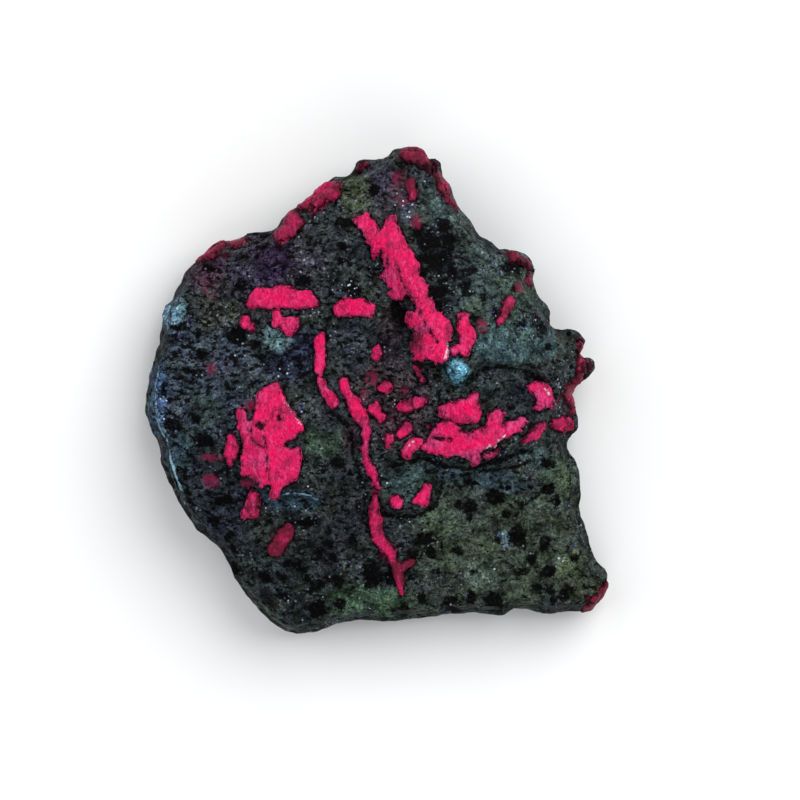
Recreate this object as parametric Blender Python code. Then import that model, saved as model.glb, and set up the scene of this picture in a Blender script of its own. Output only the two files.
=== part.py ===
"""Ruby in zoisite: one rough stone lying on its back with its broad face up.

The rock is green zoisite with black amphibole. Harder ruby crystals grew in it and stand a little
proud of the broken face, as blades, bars, beads and lumps. It all grew as one piece, so it is one
closed body: a broad face with ledges, gullies and crystals, a rounded rim and a flat foot.
Metres, +Z up, origin on the foot under the middle of the stone.
"""

import bmesh
import bpy
import numpy as np
from mathutils import Vector, noise
from mathutils.geometry import delaunay_2d_cdt
from mathutils.kdtree import KDTree

MM = 0.001

# Driving dimensions, in metres.
STONE_WIDTH = 100 * MM  # greatest width, left to right
STONE_BOX = (STONE_WIDTH, 1.2 * STONE_WIDTH, 0.4 * STONE_WIDTH)  # the stone fits inside this
CRYSTAL_WALL = 0.6 * MM  # run of a crystal's steep sides
SPOT_SOFTNESS = 7 * MM  # how gently the broad face bends at its spot heights
LEDGE_LIP = 0.5 * MM  # run of the steep part of a ledge
LEDGE_END = 0.12  # share of its length over which a ledge fades in and out at its ends

# Dimensions that wander over the stone: mean, how far it wanders, length of its swings, seed.
RIM_SHARE = (0.44, 0.16, 21 * MM, 5.1)  # the widest outline lies at this share of the height
SHOULDER = (2.0 * MM, 1.2 * MM, 12 * MM, 1.3)  # run of the rounding, rim to broad face
SHOULDER_FULLNESS = (1.9, 0.9, 17 * MM, 2.6)  # 2 rounds it like a quarter circle, 1 less
BELLY = (16 * MM, 6 * MM, 24 * MM, 9.4)  # run of the rounding, rim to flat foot
BELLY_FULLNESS = (1.7, 0.8, 15 * MM, 6.8)
LONG_SWELLS = (0.0, 0.9 * MM, 13 * MM, 3.7)  # rise and fall of the broken face
SHORT_SWELLS = (0.0, 0.4 * MM, 5 * MM, 8.2)

# The sides and the belly broke along flat facets and are worn into hollows.
SIDE_TILT = 0.72  # a face that looks up less than this, this near the rim, belongs to the sides
SIDE_REACH = 7 * MM
SIDE_STEP = 3.5 * MM  # longer edges on the sides are split
SIDE_SPLITS = 2  # how often
SIDE_EASE = 5  # rounds of relaxing that take the outline's small corners out of the sides
CHIP_LENGTH = 9 * MM  # size of the facets
CHIP_SHARE = 0.75  # how far the rounding is flattened to them
CHIP_MOST = 1.4 * MM
CHIP_SEED = 7
HOLLOW = 1.1 * MM  # depth of the hollows, and how far it wanders
HOLLOW_SWING = 1.5 * MM
HOLLOW_LENGTH = 8 * MM
HOLLOW_RUN = 2.2 * MM  # they reach full depth this far inside the rim
LOWEST = 0.05 * MM  # nothing on the belly breaks lower than this above the foot

# Fineness of the mesh, in metres.
FACE_STEP = 2.1 * MM
FOOT_STEP = 5 * MM
FACE_RINGS = (0.25 * MM, 0.9 * MM, 2.2 * MM, 4.0 * MM)  # rows of points inside the outline
FOOT_RINGS = (0.7 * MM, 2.4 * MM, 4.8 * MM, 8 * MM, 12 * MM, 17 * MM)
RING_STEP = 2.2 * MM
RIM_CLEARANCE = 1 * MM  # a crystal's corner nearer the rim than this gets no point of its own
POINT_GAP = 0.45 * MM  # a new point keeps this far from those before it
WELD = 0.001 * MM

# The outlines are drawn on a squared grid: x to the right, y down, 465 squares across the stone.
GRID_SQUARES = 465
GRID_MIDDLE = (376.5, 390.5)
SQUARE = STONE_WIDTH / GRID_SQUARES

OUTLINE = [
    (396, 147), (412, 146), (422, 148), (425, 155), (425, 161), (435, 157), (440, 160), (443, 177),
    (450, 182), (455, 202), (468, 217), (481, 236), (498, 248), (515, 249), (529, 257), (535, 268),
    (533, 278), (538, 294), (549, 306), (550, 323), (556, 329), (575, 328), (587, 340), (577, 355),
    (578, 358), (593, 357), (597, 366), (583, 380), (570, 391), (577, 408), (579, 428), (568, 438),
    (568, 447), (579, 470), (582, 493), (581, 513), (594, 555), (606, 569), (609, 583), (599, 602),
    (585, 612), (566, 612), (550, 615), (529, 610), (514, 609), (502, 616), (489, 615), (470, 613),
    (443, 615), (411, 620), (385, 622), (359, 620), (326, 629), (299, 635), (278, 629), (259, 612),
    (238, 586), (220, 548), (206, 536), (190, 523), (173, 494), (161, 467), (159, 446), (150, 430),
    (144, 409), (147, 381), (158, 340), (160, 316), (164, 305), (173, 299), (175, 289), (183, 271),
    (200, 255), (214, 242), (225, 239), (236, 240), (247, 232), (264, 230), (278, 226), (283, 214),
    (305, 199), (324, 181), (340, 175), (352, 171), (354, 162), (362, 157), (376, 158), (388, 154),
]

# Heights of the broad face above the foot: grid x, grid y, millimetres.
SPOT_HEIGHTS = {
    "summit": (410, 158, 22), "upper left rim": (320, 195, 22), "left shoulder": (215, 252, 19),
    "upper left rise": (172, 305, 18), "left brow": (158, 380, 20), "left cheek": (172, 465, 20),
    "lower left rim": (232, 560, 18), "bottom left": (300, 622, 16), "bottom": (395, 612, 17),
    "bottom right": (500, 606, 16), "corner": (596, 588, 13), "right rim": (574, 500, 16),
    "right plate": (566, 420, 20), "prow": (584, 345, 18), "right upper rim": (542, 305, 22),
    "right shoulder": (518, 258, 22), "summit right": (450, 200, 24), "crown top": (400, 222, 30),
    "crown": (425, 292, 34), "blade end": (436, 345, 36), "upper slope": (495, 300, 29),
    "upper plateau": (310, 262, 27), "left plateau": (225, 380, 26), "cluster": (270, 440, 29),
    "middle": (340, 350, 29), "shelf left": (400, 415, 29), "shelf right": (520, 395, 28),
    "ledge brow": (465, 440, 29), "ledge foot": (475, 485, 22), "low plane": (520, 545, 17),
    "low middle": (400, 560, 20), "low left": (300, 545, 24), "step": (405, 480, 26),
}

# Ledges: a sudden drop to the right of the line as it is drawn. Drop, then how far it reaches.
LEDGES = [
    ("under the blade", 6.0 * MM, 3.0 * MM, [(404, 361), (424, 366), (450, 365)]),
    ("upper ledge", 3.4 * MM, 5.0 * MM,
     [(450, 385), (465, 375), (480, 364), (503, 362), (530, 368), (546, 381), (554, 392)]),
    ("long ledge", 4.4 * MM, 6.0 * MM,
     [(392, 462), (424, 454), (440, 461), (472, 465), (505, 453), (530, 445), (547, 430),
      (557, 411), (571, 392), (588, 379)]),
    ("short step", 2.8 * MM, 4.0 * MM,
     [(380, 508), (395, 513), (420, 509), (432, 502), (437, 481), (441, 464)]),
    ("under the cluster", 2.2 * MM, 5.0 * MM, [(240, 476), (262, 486), (275, 497), (320, 497)]),
]

# Gullies: depth, half width and line.
GULLIES = [
    ("summit gully", 1.8 * MM, 1.8 * MM, [(394, 150), (397, 182), (392, 215)]),
    ("beside the blade", 3.2 * MM, 2.2 * MM, [(378, 262), (392, 304), (408, 335), (408, 356)]),
    ("along the vein", 1.4 * MM, 1.4 * MM,
     [(322, 402), (352, 428), (355, 452), (368, 492), (364, 520)]),
    ("low plane groove", 0.9 * MM, 1.6 * MM, [(548, 488), (520, 508), (508, 540)]),
    ("upper streak", 0.8 * MM, 1.6 * MM, [(300, 216), (262, 288)]),
]

# Knobs and hollows: height (a hollow's is below nought), radius, place.
KNOBS = [
    ("pit under the blade", -2.5 * MM, 2.0 * MM, (434, 372)),
    ("blue knob", 2.2 * MM, 2.0 * MM, (456, 371)),
    ("grey knob", 1.6 * MM, 2.6 * MM, (282, 350)),
    ("knob under the cluster", 1.2 * MM, 2.2 * MM, (268, 507)),
    ("hollow of the nuggets", -1.0 * MM, 3.0 * MM, (392, 420)),
]

# Ruby crystals: how proud they stand, then their outline.
CRYSTALS = {
    "blade": (1.4 * MM, [(355, 216), (368, 217), (381, 229), (391, 220), (397, 224), (413, 254),
                         (420, 267), (418, 275), (428, 291), (434, 306), (451, 323), (450, 337),
                         (445, 343), (448, 364), (414, 360), (417, 327), (409, 319), (413, 302),
                         (404, 300), (392, 298), (391, 288), (380, 277), (386, 262), (381, 250),
                         (376, 258), (363, 234)]),
    "blade companion": (1.0 * MM, [(458, 314), (466, 315), (476, 334), (467, 356), (450, 355),
                                   (451, 347), (459, 342)]),
    "slope strip": (0.6 * MM, [(503, 299), (513, 299), (508, 314), (497, 325), (497, 319)]),
    "blade sliver": (0.6 * MM, [(411, 365), (418, 367), (425, 383), (420, 382)]),
    "long bar": (0.7 * MM, [(246, 305), (254, 288), (292, 287), (312, 292), (319, 305), (280, 309),
                            (250, 308)]),
    "bar foot": (0.7 * MM, [(272, 310), (279, 310), (282, 317), (298, 317), (300, 326), (290, 335),
                            (271, 324)]),
    "short bar": (0.7 * MM, [(333, 305), (342, 299), (362, 299), (375, 305), (372, 316), (336, 316)]),
    "bar bead": (0.6 * MM, [(241, 316), (250, 318), (256, 330), (243, 327)]),
    "splinter": (0.8 * MM, [(315, 337), (320, 331), (326, 339), (325, 368), (319, 376), (314, 365)]),
    "splinter foot": (0.8 * MM, [(317, 378), (323, 378), (330, 390), (339, 401), (332, 409),
                                 (321, 394)]),
    "centre bead": (0.6 * MM, [(373, 346), (380, 346), (381, 356), (376, 362), (372, 355)]),
    "vein top": (0.9 * MM, [(338, 380), (346, 376), (351, 391), (361, 402), (371, 427), (367, 451),
                            (380, 485), (375, 489), (359, 448), (362, 430), (349, 407)]),
    "vein foot": (0.7 * MM, [(371, 497), (377, 495), (383, 518), (384, 535), (394, 547), (402, 563),
                             (415, 559), (403, 572), (404, 596), (398, 594), (388, 557), (373, 541),
                             (368, 515)]),
    "cluster": (1.2 * MM, [(258, 391), (275, 382), (281, 383), (288, 403), (304, 426), (288, 441),
                           (285, 448), (300, 447), (300, 469), (286, 484), (276, 496), (270, 484),
                           (245, 475), (241, 457), (243, 444), (237, 410), (243, 407), (250, 421)]),
    "cluster tooth": (0.7 * MM, [(228, 434), (234, 436), (238, 450), (232, 465), (225, 456)]),
    "cluster root": (0.6 * MM, [(248, 489), (256, 489), (260, 514), (250, 516), (241, 517),
                                (243, 505)]),
    "oval": (0.3 * MM, [(286, 523), (294, 528), (285, 548), (274, 556), (267, 549)]),
    "rim blade": (1.0 * MM, [(298, 206), (314, 192), (336, 176), (341, 178), (338, 195), (324, 202),
                             (308, 209)]),
    "rim blade foot": (0.9 * MM, [(285, 215), (297, 214), (302, 225), (290, 238), (276, 239),
                                  (283, 228)]),
    "rim lump": (0.7 * MM, [(204, 256), (215, 243), (225, 241), (217, 251), (206, 258)]),
    "summit lump": (1.1 * MM, [(403, 149), (420, 148), (424, 160), (420, 165), (404, 161)]),
    "summit bead": (0.6 * MM, [(408, 179), (413, 179), (416, 193), (410, 200), (406, 190)]),
    "summit side lump": (0.9 * MM, [(438, 184), (447, 182), (454, 203), (446, 200)]),
    "shoulder lump": (0.9 * MM, [(509, 251), (518, 252), (530, 263), (520, 261), (511, 260)]),
    "prow lump": (0.9 * MM, [(572, 330), (584, 338), (582, 346), (577, 341)]),
    "fang": (0.9 * MM, [(577, 361), (582, 364), (579, 380), (575, 378)]),
    "fang tip": (0.7 * MM, [(588, 361), (594, 361), (594, 369), (587, 368)]),
    "shelf lamp": (1.3 * MM, [(528, 387), (535, 382), (550, 387), (551, 406), (534, 409), (536, 397)]),
    "right plate": (0.6 * MM, [(553, 421), (567, 417), (575, 427), (560, 432)]),
    "ledge ruby": (1.2 * MM, [(420, 449), (433, 425), (447, 420), (463, 433), (484, 427), (490, 411),
                              (500, 410), (503, 424), (525, 418), (520, 429), (480, 450), (479, 460),
                              (455, 455)]),
    "ledge block": (1.1 * MM, [(437, 409), (452, 401), (467, 399), (477, 392), (480, 415),
                               (475, 424), (461, 424), (441, 418)]),
    "ledge sliver": (0.6 * MM, [(520, 441), (533, 429), (545, 421), (540, 434)]),
    "nugget 1": (0.7 * MM, [(396, 407), (404, 399), (425, 397), (421, 408), (402, 412)]),
    "nugget 2": (0.7 * MM, [(396, 433), (405, 421), (412, 426), (403, 437)]),
    "nugget 3": (0.8 * MM, [(400, 453), (409, 438), (422, 440), (411, 456)]),
    "nugget 4": (0.6 * MM, [(384, 435), (392, 434), (388, 449)]),
    "nugget 5": (0.7 * MM, [(367, 407), (378, 401), (386, 418), (378, 422)]),
    "nugget 6": (0.7 * MM, [(377, 388), (384, 380), (391, 385), (386, 394)]),
    "lower bead": (0.6 * MM, [(389, 500), (395, 494), (402, 501), (398, 508)]),
    "lower drop": (0.7 * MM, [(412, 502), (427, 483), (430, 494), (424, 504)]),
    "corner lump": (0.6 * MM, [(604, 586), (604, 594), (588, 608), (587, 603)]),
}


def metres(grid_points):
    """Places on the drawing grid, in metres about the stone's middle with y up."""
    drawn = np.asarray(grid_points, dtype=float)
    return (drawn - GRID_MIDDLE) * (SQUARE, -SQUARE)


def along_path(points, path):
    """Each point's distance to a path, its side of it (1 is right) and how far along it is, 0 to 1."""
    steps = np.linalg.norm(np.diff(path, axis=0), axis=1)
    starts = np.concatenate(([0.0], np.cumsum(steps)))
    nearest = np.full(len(points), np.inf)
    side = np.ones(len(points))
    share = np.zeros(len(points))
    for start, end, step, before in zip(path[:-1], path[1:], steps, starts):
        run = end - start
        offset = points - start
        t = np.clip(offset @ run / step**2, 0.0, 1.0)
        away = np.linalg.norm(offset - t[:, None] * run, axis=1)
        closer = away < nearest
        nearest[closer] = away[closer]
        cross = run[1] * offset[:, 0] - run[0] * offset[:, 1]
        side[closer] = np.where(cross[closer] > 0, 1.0, -1.0)
        share[closer] = ((before + t * step) / starts[-1])[closer]
    return nearest, side, share


def closed(loop):
    return np.vstack((loop, loop[:1]))


def inside(points, loop):
    """True for the points inside a closed loop."""
    odd = np.zeros(len(points), dtype=bool)
    x, y = points[:, 0], points[:, 1]
    for (ax, ay), (bx, by) in zip(loop, np.roll(loop, -1, axis=0)):
        if ay != by:
            crosses = (ay > y) != (by > y)
            odd ^= crosses & (x < (bx - ax) * (y - ay) / (by - ay) + ax)
    return odd


def depth_in(points, loop):
    """How deep each point lies inside a closed loop; below nought outside it."""
    nearest = along_path(points, closed(loop))[0]
    nearest[nearest < WELD] = 0.0
    return np.where(inside(points, loop), nearest, -nearest)


def wandering(points, dimension):
    """A dimension's value at each point, where smooth noise has carried it from its mean."""
    mean, swing, length, seed = dimension
    swells = [noise.noise(Vector((x / length, y / length, seed))) for x, y in points]
    return mean + swing * np.array(swells)


def through_spots(points):
    """A smooth surface through the spot heights, by multiquadrics."""
    spots = np.array(list(SPOT_HEIGHTS.values()), dtype=float)
    places = metres(spots[:, :2])

    def basis(a, b):
        return np.sqrt(((a[:, None] - b[None]) ** 2).sum(axis=2) + SPOT_SOFTNESS**2)

    weights = np.linalg.solve(basis(places, places), spots[:, 2] * MM)
    return basis(points, places) @ weights


def ledge_relief(points):
    """Half the drop above each ledge and half below it, fading away from it and at its ends."""
    relief = np.zeros(len(points))
    for _, drop, reach, line in LEDGES:
        away, side, share = along_path(points, metres(line))
        ends = np.clip(np.minimum(share, 1 - share) / LEDGE_END, 0.0, 1.0)
        relief -= 0.5 * drop * side * np.tanh(away / LEDGE_LIP) * np.exp(-away / reach) * ends
    return relief


def gully_relief(points):
    relief = np.zeros(len(points))
    for _, depth, half_width, line in GULLIES:
        away = along_path(points, metres(line))[0]
        relief -= depth * np.exp(-((away / half_width) ** 2))
    return relief


def knob_relief(points):
    relief = np.zeros(len(points))
    for _, height, radius, place in KNOBS:
        away = np.linalg.norm(points - metres(place), axis=1)
        relief += height * np.exp(-((away / radius) ** 2))
    return relief


def crystal_relief(points):
    """Crystals with steep sides and flat tops that follow the rock they grew in."""
    relief = np.zeros(len(points))
    for proud, loop in CRYSTALS.values():
        depth = depth_in(points, metres(loop))
        relief = np.maximum(relief, proud * np.clip(depth / CRYSTAL_WALL, 0.0, 1.0))
    return relief


def broad_face(points):
    """Height of the broken face, before it rounds off to the rim."""
    height = through_spots(points)
    height += wandering(points, LONG_SWELLS) + wandering(points, SHORT_SWELLS)
    return height + ledge_relief(points) + gully_relief(points) + knob_relief(points)


def rounding(depth, run, fullness):
    """The rise from 0 at the rim to 1 at the end of the run; at fullness 2 it is a quarter circle."""
    return (1 - (1 - np.clip(depth / run, 0.0, 1.0)) ** 2) ** (1 / fullness)


def rim_height(points):
    return wandering(points, RIM_SHARE) * through_spots(points)


def face_height(points):
    """Height of the stone's upper side, rim to rim."""
    depth = depth_in(points, metres(OUTLINE))
    run, fullness = wandering(points, SHOULDER), wandering(points, SHOULDER_FULLNESS)
    rise = rounding(depth, run, fullness)
    rim = rim_height(points)
    return rim + rise * (broad_face(points) + crystal_relief(points) - rim)


def foot_height(points):
    """Height of the stone's underside: rounded in from the rim, then the flat foot at nought."""
    depth = depth_in(points, metres(OUTLINE))
    run, fullness = wandering(points, BELLY), wandering(points, BELLY_FULLNESS)
    return rim_height(points) * (1 - rounding(depth, run, fullness))


def ring(loop, depth, step):
    """Points spaced along a closed loop and set back inside it by a depth."""
    ends = np.roll(loop, -1, axis=0)
    places = []
    for start, end in zip(loop, ends):
        run = end - start
        length = np.linalg.norm(run)
        inward = np.array((run[1], -run[0])) / length
        count = max(1, round(length / step))
        places += [start + run * (i + 0.5) / count + inward * depth for i in range(count)]
    places = np.array(places)
    return places[depth_in(places, loop) > 0.9 * depth]


def corner_points(loop, depth):
    """A point inside each corner of a closed loop, set back from both its sides.

    Like every outline here, the loop runs clockwise as seen from above.
    """
    before = loop - np.roll(loop, 1, axis=0)
    after = np.roll(loop, -1, axis=0) - loop
    along = before / np.linalg.norm(before, axis=1)[:, None]
    along += after / np.linalg.norm(after, axis=1)[:, None]
    inward = np.column_stack((along[:, 1], -along[:, 0])) / np.linalg.norm(along, axis=1)[:, None]
    places = loop + inward * depth
    return places[depth_in(places, loop) > 0.5 * depth]


def lattice(step, loop, depth):
    """A triangular lattice of points at least this deep inside a closed loop."""
    low, high = loop.min(axis=0), loop.max(axis=0)
    rows = np.arange(low[1], high[1], step * 0.866)
    places = [
        (x + (step / 2 if row % 2 else 0.0), y)
        for row, y in enumerate(rows)
        for x in np.arange(low[0], high[0], step)
    ]
    places = np.array(places)
    return places[depth_in(places, loop) > depth]


def thinned(points, kept, gap):
    """The points that keep at least a gap from every point already kept."""
    away = np.linalg.norm(points[:, None] - kept[None], axis=2).min(axis=1)
    return points[away > gap]


def crystal_lines():
    """The crystals' outlines away from the rim, as points and the edges between them."""
    points, edges = [], []
    for _, loop in CRYSTALS.values():
        drawn = metres(loop)
        clear = depth_in(drawn, metres(OUTLINE)) > RIM_CLEARANCE
        first = len(points)
        numbers = {}
        for corner in np.flatnonzero(clear):
            numbers[corner] = first + len(numbers)
            points.append(drawn[corner])
        pairs = [(corner, (corner + 1) % len(drawn)) for corner in numbers]
        edges += [(numbers[a], numbers[b]) for a, b in pairs if b in numbers]
    return np.array(points), edges


def crystal_tops():
    """Points just inside each crystal's outline, where its steep sides meet its top."""
    tops = np.vstack([corner_points(metres(loop), CRYSTAL_WALL) for _, loop in CRYSTALS.values()])
    return tops[depth_in(tops, metres(OUTLINE)) > RIM_CLEARANCE]


def sheet(points, edges, height):
    """Triangles between the points and edges inside the outline, raised to a height."""
    flat = [Vector(place) for place in points]
    places, _, triangles, *_ = delaunay_2d_cdt(flat, edges, [], 0, WELD)
    places = np.array([tuple(place) for place in places])
    triangles = np.array(triangles)
    middles = places[triangles].mean(axis=1)
    triangles = triangles[inside(middles, metres(OUTLINE))]
    return np.column_stack((places, height(places))), triangles


def loop_edges(count):
    return [(i, (i + 1) % count) for i in range(count)]


def with_more(points, more, gap=POINT_GAP):
    """The points, and those of some more that keep clear of them."""
    return np.vstack((points, thinned(more, points, gap)))


def filled(points, rings, ring_step, step):
    """The points, with rows inside the outline and a lattice in the middle."""
    outline = metres(OUTLINE)
    for depth in rings:
        points = with_more(points, ring(outline, depth, ring_step))
    inner = lattice(step, outline, rings[-1] + step / 2)
    return with_more(points, inner, step / 2)


def face_sheet():
    outline = metres(OUTLINE)
    lines, line_edges = crystal_lines()
    edges = loop_edges(len(outline)) + [(a + len(outline), b + len(outline)) for a, b in line_edges]
    points = np.vstack((outline, lines))
    points = with_more(points, corner_points(outline, FACE_RINGS[0]), FACE_RINGS[0] / 2)
    points = with_more(points, crystal_tops())
    return sheet(filled(points, FACE_RINGS, RING_STEP, FACE_STEP), edges, face_height)


def foot_sheet():
    outline = metres(OUTLINE)
    points = np.vstack((outline, corner_points(outline, FOOT_RINGS[0])))
    points = filled(points, FOOT_RINGS, 2 * RING_STEP, FOOT_STEP)
    return sheet(points, loop_edges(len(outline)), foot_height)


def add_sheet(bm, places, triangles, upward):
    corners = [bm.verts.new(place) for place in places]
    for triangle in triangles:
        order = triangle if upward else triangle[::-1]
        bm.faces.new([corners[i] for i in order])


def rim_depths(bm):
    return depth_in(np.array([vert.co.xy for vert in bm.verts]), metres(OUTLINE))


def side_points(bm):
    """The points of the sides, between the rim and the broad face."""
    bm.normal_update()
    return [
        vert
        for vert, depth in zip(bm.verts, rim_depths(bm))
        if 0.0 < depth < SIDE_REACH and 0.0 < vert.normal.z < SIDE_TILT
    ]


def even_sides(bm):
    """Splits the long faces of the sides, then relaxes them, so that no ribs run down them."""
    for _ in range(SIDE_SPLITS):
        sides = set(side_points(bm))
        near = [edge for edge in bm.edges if not sides.isdisjoint(edge.verts)]
        long = [edge for edge in near if edge.calc_length() > SIDE_STEP]
        bmesh.ops.subdivide_edges(bm, edges=long, cuts=1)
        bmesh.ops.triangulate(bm, faces=bm.faces)
    for _ in range(SIDE_EASE):
        every_way = {"use_axis_x": True, "use_axis_y": True, "use_axis_z": True}
        bmesh.ops.smooth_vert(bm, verts=side_points(bm), factor=0.5, **every_way)


def chip_seeds():
    """Places scattered through the stone's box; the rock nearest one broke as one facet."""
    low = np.multiply(STONE_BOX, (-0.5, -0.5, 0.0))
    high = low + STONE_BOX
    count = int(np.prod(STONE_BOX) / CHIP_LENGTH**3)
    seeds = KDTree(count)
    draw = np.random.default_rng(CHIP_SEED)
    for number, place in enumerate(draw.uniform(low, high, (count, 3))):
        seeds.insert(place, number)
    seeds.balance()
    return seeds


def break_sides(bm):
    """Flattens patches of the sides and the belly and hollows them. The rim keeps its line."""
    bm.normal_update()
    seeds = chip_seeds()
    patches = {}
    for vert, depth in zip(bm.verts, rim_depths(bm)):
        side = vert.normal.z < SIDE_TILT and depth < SIDE_REACH
        if vert.co.z > WELD and (side or vert.normal.z < 0):
            patches.setdefault(seeds.find(vert.co)[1], []).append((vert, depth))
    for patch in patches.values():
        middle = sum((vert.co for vert, _ in patch), Vector()) / len(patch)
        facing = sum((vert.normal for vert, _ in patch), Vector()).normalized()
        for vert, depth in patch:
            off = CHIP_SHARE * (vert.co - middle).dot(facing)
            hollow = HOLLOW + HOLLOW_SWING * noise.noise(vert.co / HOLLOW_LENGTH)
            hollow *= min(1.0, depth / HOLLOW_RUN)
            move = facing * max(-CHIP_MOST, min(CHIP_MOST, off)) + vert.normal * hollow
            if depth == 0.0:
                move.xy = (0.0, 0.0)
            vert.co -= move
            vert.co.z = max(vert.co.z, LOWEST)


def mineral(name, colour, roughness):
    material = bpy.data.materials.new(name)
    material.use_nodes = True
    surface = material.node_tree.nodes["Principled BSDF"]
    surface.inputs["Base Color"].default_value = (*colour, 1.0)
    surface.inputs["Roughness"].default_value = roughness
    surface.inputs["Metallic"].default_value = 0.0
    return material


def paint_crystals(mesh):
    """The faces inside the crystals' outlines take the ruby's material."""
    middles = np.array([tuple(face.center) for face in mesh.polygons])
    upper = np.array([face.normal.z > 0 for face in mesh.polygons])
    ruby = np.zeros(len(middles), dtype=bool)
    for _, loop in CRYSTALS.values():
        ruby |= inside(middles[:, :2], metres(loop))
    for face in mesh.polygons:
        face.material_index = int(ruby[face.index] and upper[face.index])


def build_stone():
    bm = bmesh.new()
    add_sheet(bm, *face_sheet(), upward=True)
    add_sheet(bm, *foot_sheet(), upward=False)
    bmesh.ops.remove_doubles(bm, verts=bm.verts, dist=WELD)
    bmesh.ops.recalc_face_normals(bm, faces=bm.faces)
    even_sides(bm)
    break_sides(bm)
    mesh = bpy.data.meshes.new("stone")
    bm.to_mesh(mesh)
    bm.free()
    mesh.materials.append(mineral("zoisite", (0.035, 0.045, 0.035), 0.6))
    mesh.materials.append(mineral("ruby", (0.80, 0.02, 0.10), 0.45))
    paint_crystals(mesh)
    stone = bpy.data.objects.new("stone", mesh)
    bpy.context.collection.objects.link(stone)
    return stone


def main():
    for old in list(bpy.data.objects):
        bpy.data.objects.remove(old, do_unlink=True)
    build_stone()


main()
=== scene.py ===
"""Ruby in zoisite: the looks of one rough stone lying on its back with its broad face up.

Green zoisite full of black amphibole makes the rock. Hot pink ruby crystals grew in it, and stand
proud of the broken face as blades, bars, beads and lumps.

The stone's skin is worked out once. The rock is that skin with a socket sunk under each crystal,
and the crystals are the skin raised over the same places, closed underneath. Outlines are drawn
on a squared grid, x to the right and y down, which is fitted to the stone's width in the frame.
"""

from collections import namedtuple
from functools import cache

import bmesh
import bpy
import numpy as np
from bpy.props import FloatProperty, FloatVectorProperty, PointerProperty
from bpy.types import NodeSocket, Operator, Panel, PropertyGroup
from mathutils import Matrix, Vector, noise
from mathutils.geometry import delaunay_2d_cdt
from mathutils.kdtree import KDTree


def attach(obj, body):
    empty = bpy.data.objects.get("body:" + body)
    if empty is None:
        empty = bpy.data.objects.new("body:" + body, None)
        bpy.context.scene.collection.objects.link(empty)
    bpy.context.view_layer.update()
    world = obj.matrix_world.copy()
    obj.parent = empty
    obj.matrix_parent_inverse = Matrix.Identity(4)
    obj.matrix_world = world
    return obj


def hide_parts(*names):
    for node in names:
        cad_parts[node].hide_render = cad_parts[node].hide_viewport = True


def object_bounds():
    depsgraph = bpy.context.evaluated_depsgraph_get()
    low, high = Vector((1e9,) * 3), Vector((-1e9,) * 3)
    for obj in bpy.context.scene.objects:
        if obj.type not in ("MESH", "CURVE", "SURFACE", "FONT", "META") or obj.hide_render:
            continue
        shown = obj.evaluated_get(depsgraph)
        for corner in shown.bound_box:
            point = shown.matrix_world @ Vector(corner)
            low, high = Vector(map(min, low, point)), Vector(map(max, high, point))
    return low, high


bl_info = {
    "name": "Ruby in Zoisite Stone",
    "version": (1, 0, 0),
    "blender": (4, 5, 0),
    "location": "View3D > Sidebar > Stone",
    "description": "Builds a rough stone of ruby in zoisite, its minerals and a pale studio",
    "category": "Add Mesh",
}

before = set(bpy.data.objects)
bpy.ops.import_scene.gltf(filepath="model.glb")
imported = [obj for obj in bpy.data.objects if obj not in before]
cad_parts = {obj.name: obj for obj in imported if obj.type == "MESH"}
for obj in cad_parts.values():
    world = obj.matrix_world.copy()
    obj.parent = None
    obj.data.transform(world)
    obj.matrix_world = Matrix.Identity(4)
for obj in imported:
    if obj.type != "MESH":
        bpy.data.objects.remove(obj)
CAD_LOW, CAD_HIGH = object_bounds()

MM = 0.001

# The drawing grid, fitted to the stone's width.
GRID_SQUARES = 465
GRID_MIDDLE = (376.5, 390.5)
SQUARE = (CAD_HIGH.x - CAD_LOW.x) / GRID_SQUARES

# The skin's form, which wanders over the stone: middle value, swing, length of the swings, seed.
# The rim, where the broad face turns into the underside, lies at a share of the height above it.
RIM_SHARE = (0.44, 0.16, 21 * MM, 5.1)
SHOULDER = (2.0 * MM, 1.2 * MM, 12 * MM, 1.3)
SHOULDER_FULLNESS = (1.9, 0.9, 17 * MM, 2.6)
BELLY = (16 * MM, 6 * MM, 24 * MM, 9.4)
BELLY_FULLNESS = (1.7, 0.8, 15 * MM, 6.8)

# Relief in layers: height, length and seed.
SWELLS = ((0.9 * MM, 13 * MM, 3.7), (0.4 * MM, 5 * MM, 8.2))
LUMPS = ((0.24 * MM, 3.4 * MM, 11.0), (0.16 * MM, 1.5 * MM, 23.0))
FISSURES = ((0.5 * MM, 6 * MM, 3.0), (0.2 * MM, 2.4 * MM, 8.0))

# Small nicks along the rim: how far they shift it, and their length.
NICK = 0.16 * MM
NICK_LENGTH = 1.7 * MM

# The facets along which the sides and the belly broke: their size, what each takes off its own
# middle, the most that it takes, and how many of them can reach a place.
FACET = 8 * MM
BITE = 0.7 * MM
MOST_BITE = 2.4 * MM
FACETS_NEAR = 4

# The crystals: how far down the sides they go, how far their borders wander and over what length,
# how far past their drawn outlines they reach, and how far outside them depth is still measured.
SIDE_REACH = 9 * MM
RAGGED = 0.35 * MM
RAGGED_LENGTH = 1.3 * MM
SPREAD = 0.1 * MM
OUTSIDE = 1.5 * MM

# Their sockets, the crevices around them (depth and half width), and the painted shadow along
# them: a dark line painted on the rock around each crystal's foot, this far out.
SOCKET = 0.7 * MM
CREVICE = 0.2 * MM
CREVICE_WIDTH = 0.35 * MM
SHADOW_SEAM = 0.1 * MM

# Their tops: height and length of the terraces and how many there are to the height, and height
# and length of the lumps.
TERRACE = 0.4 * MM
TERRACE_LENGTH = 3.6 * MM
TERRACE_STEPS = 2.5
TOP_LUMP = 0.24 * MM
TOP_LUMP_LENGTH = 1.3 * MM

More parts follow.
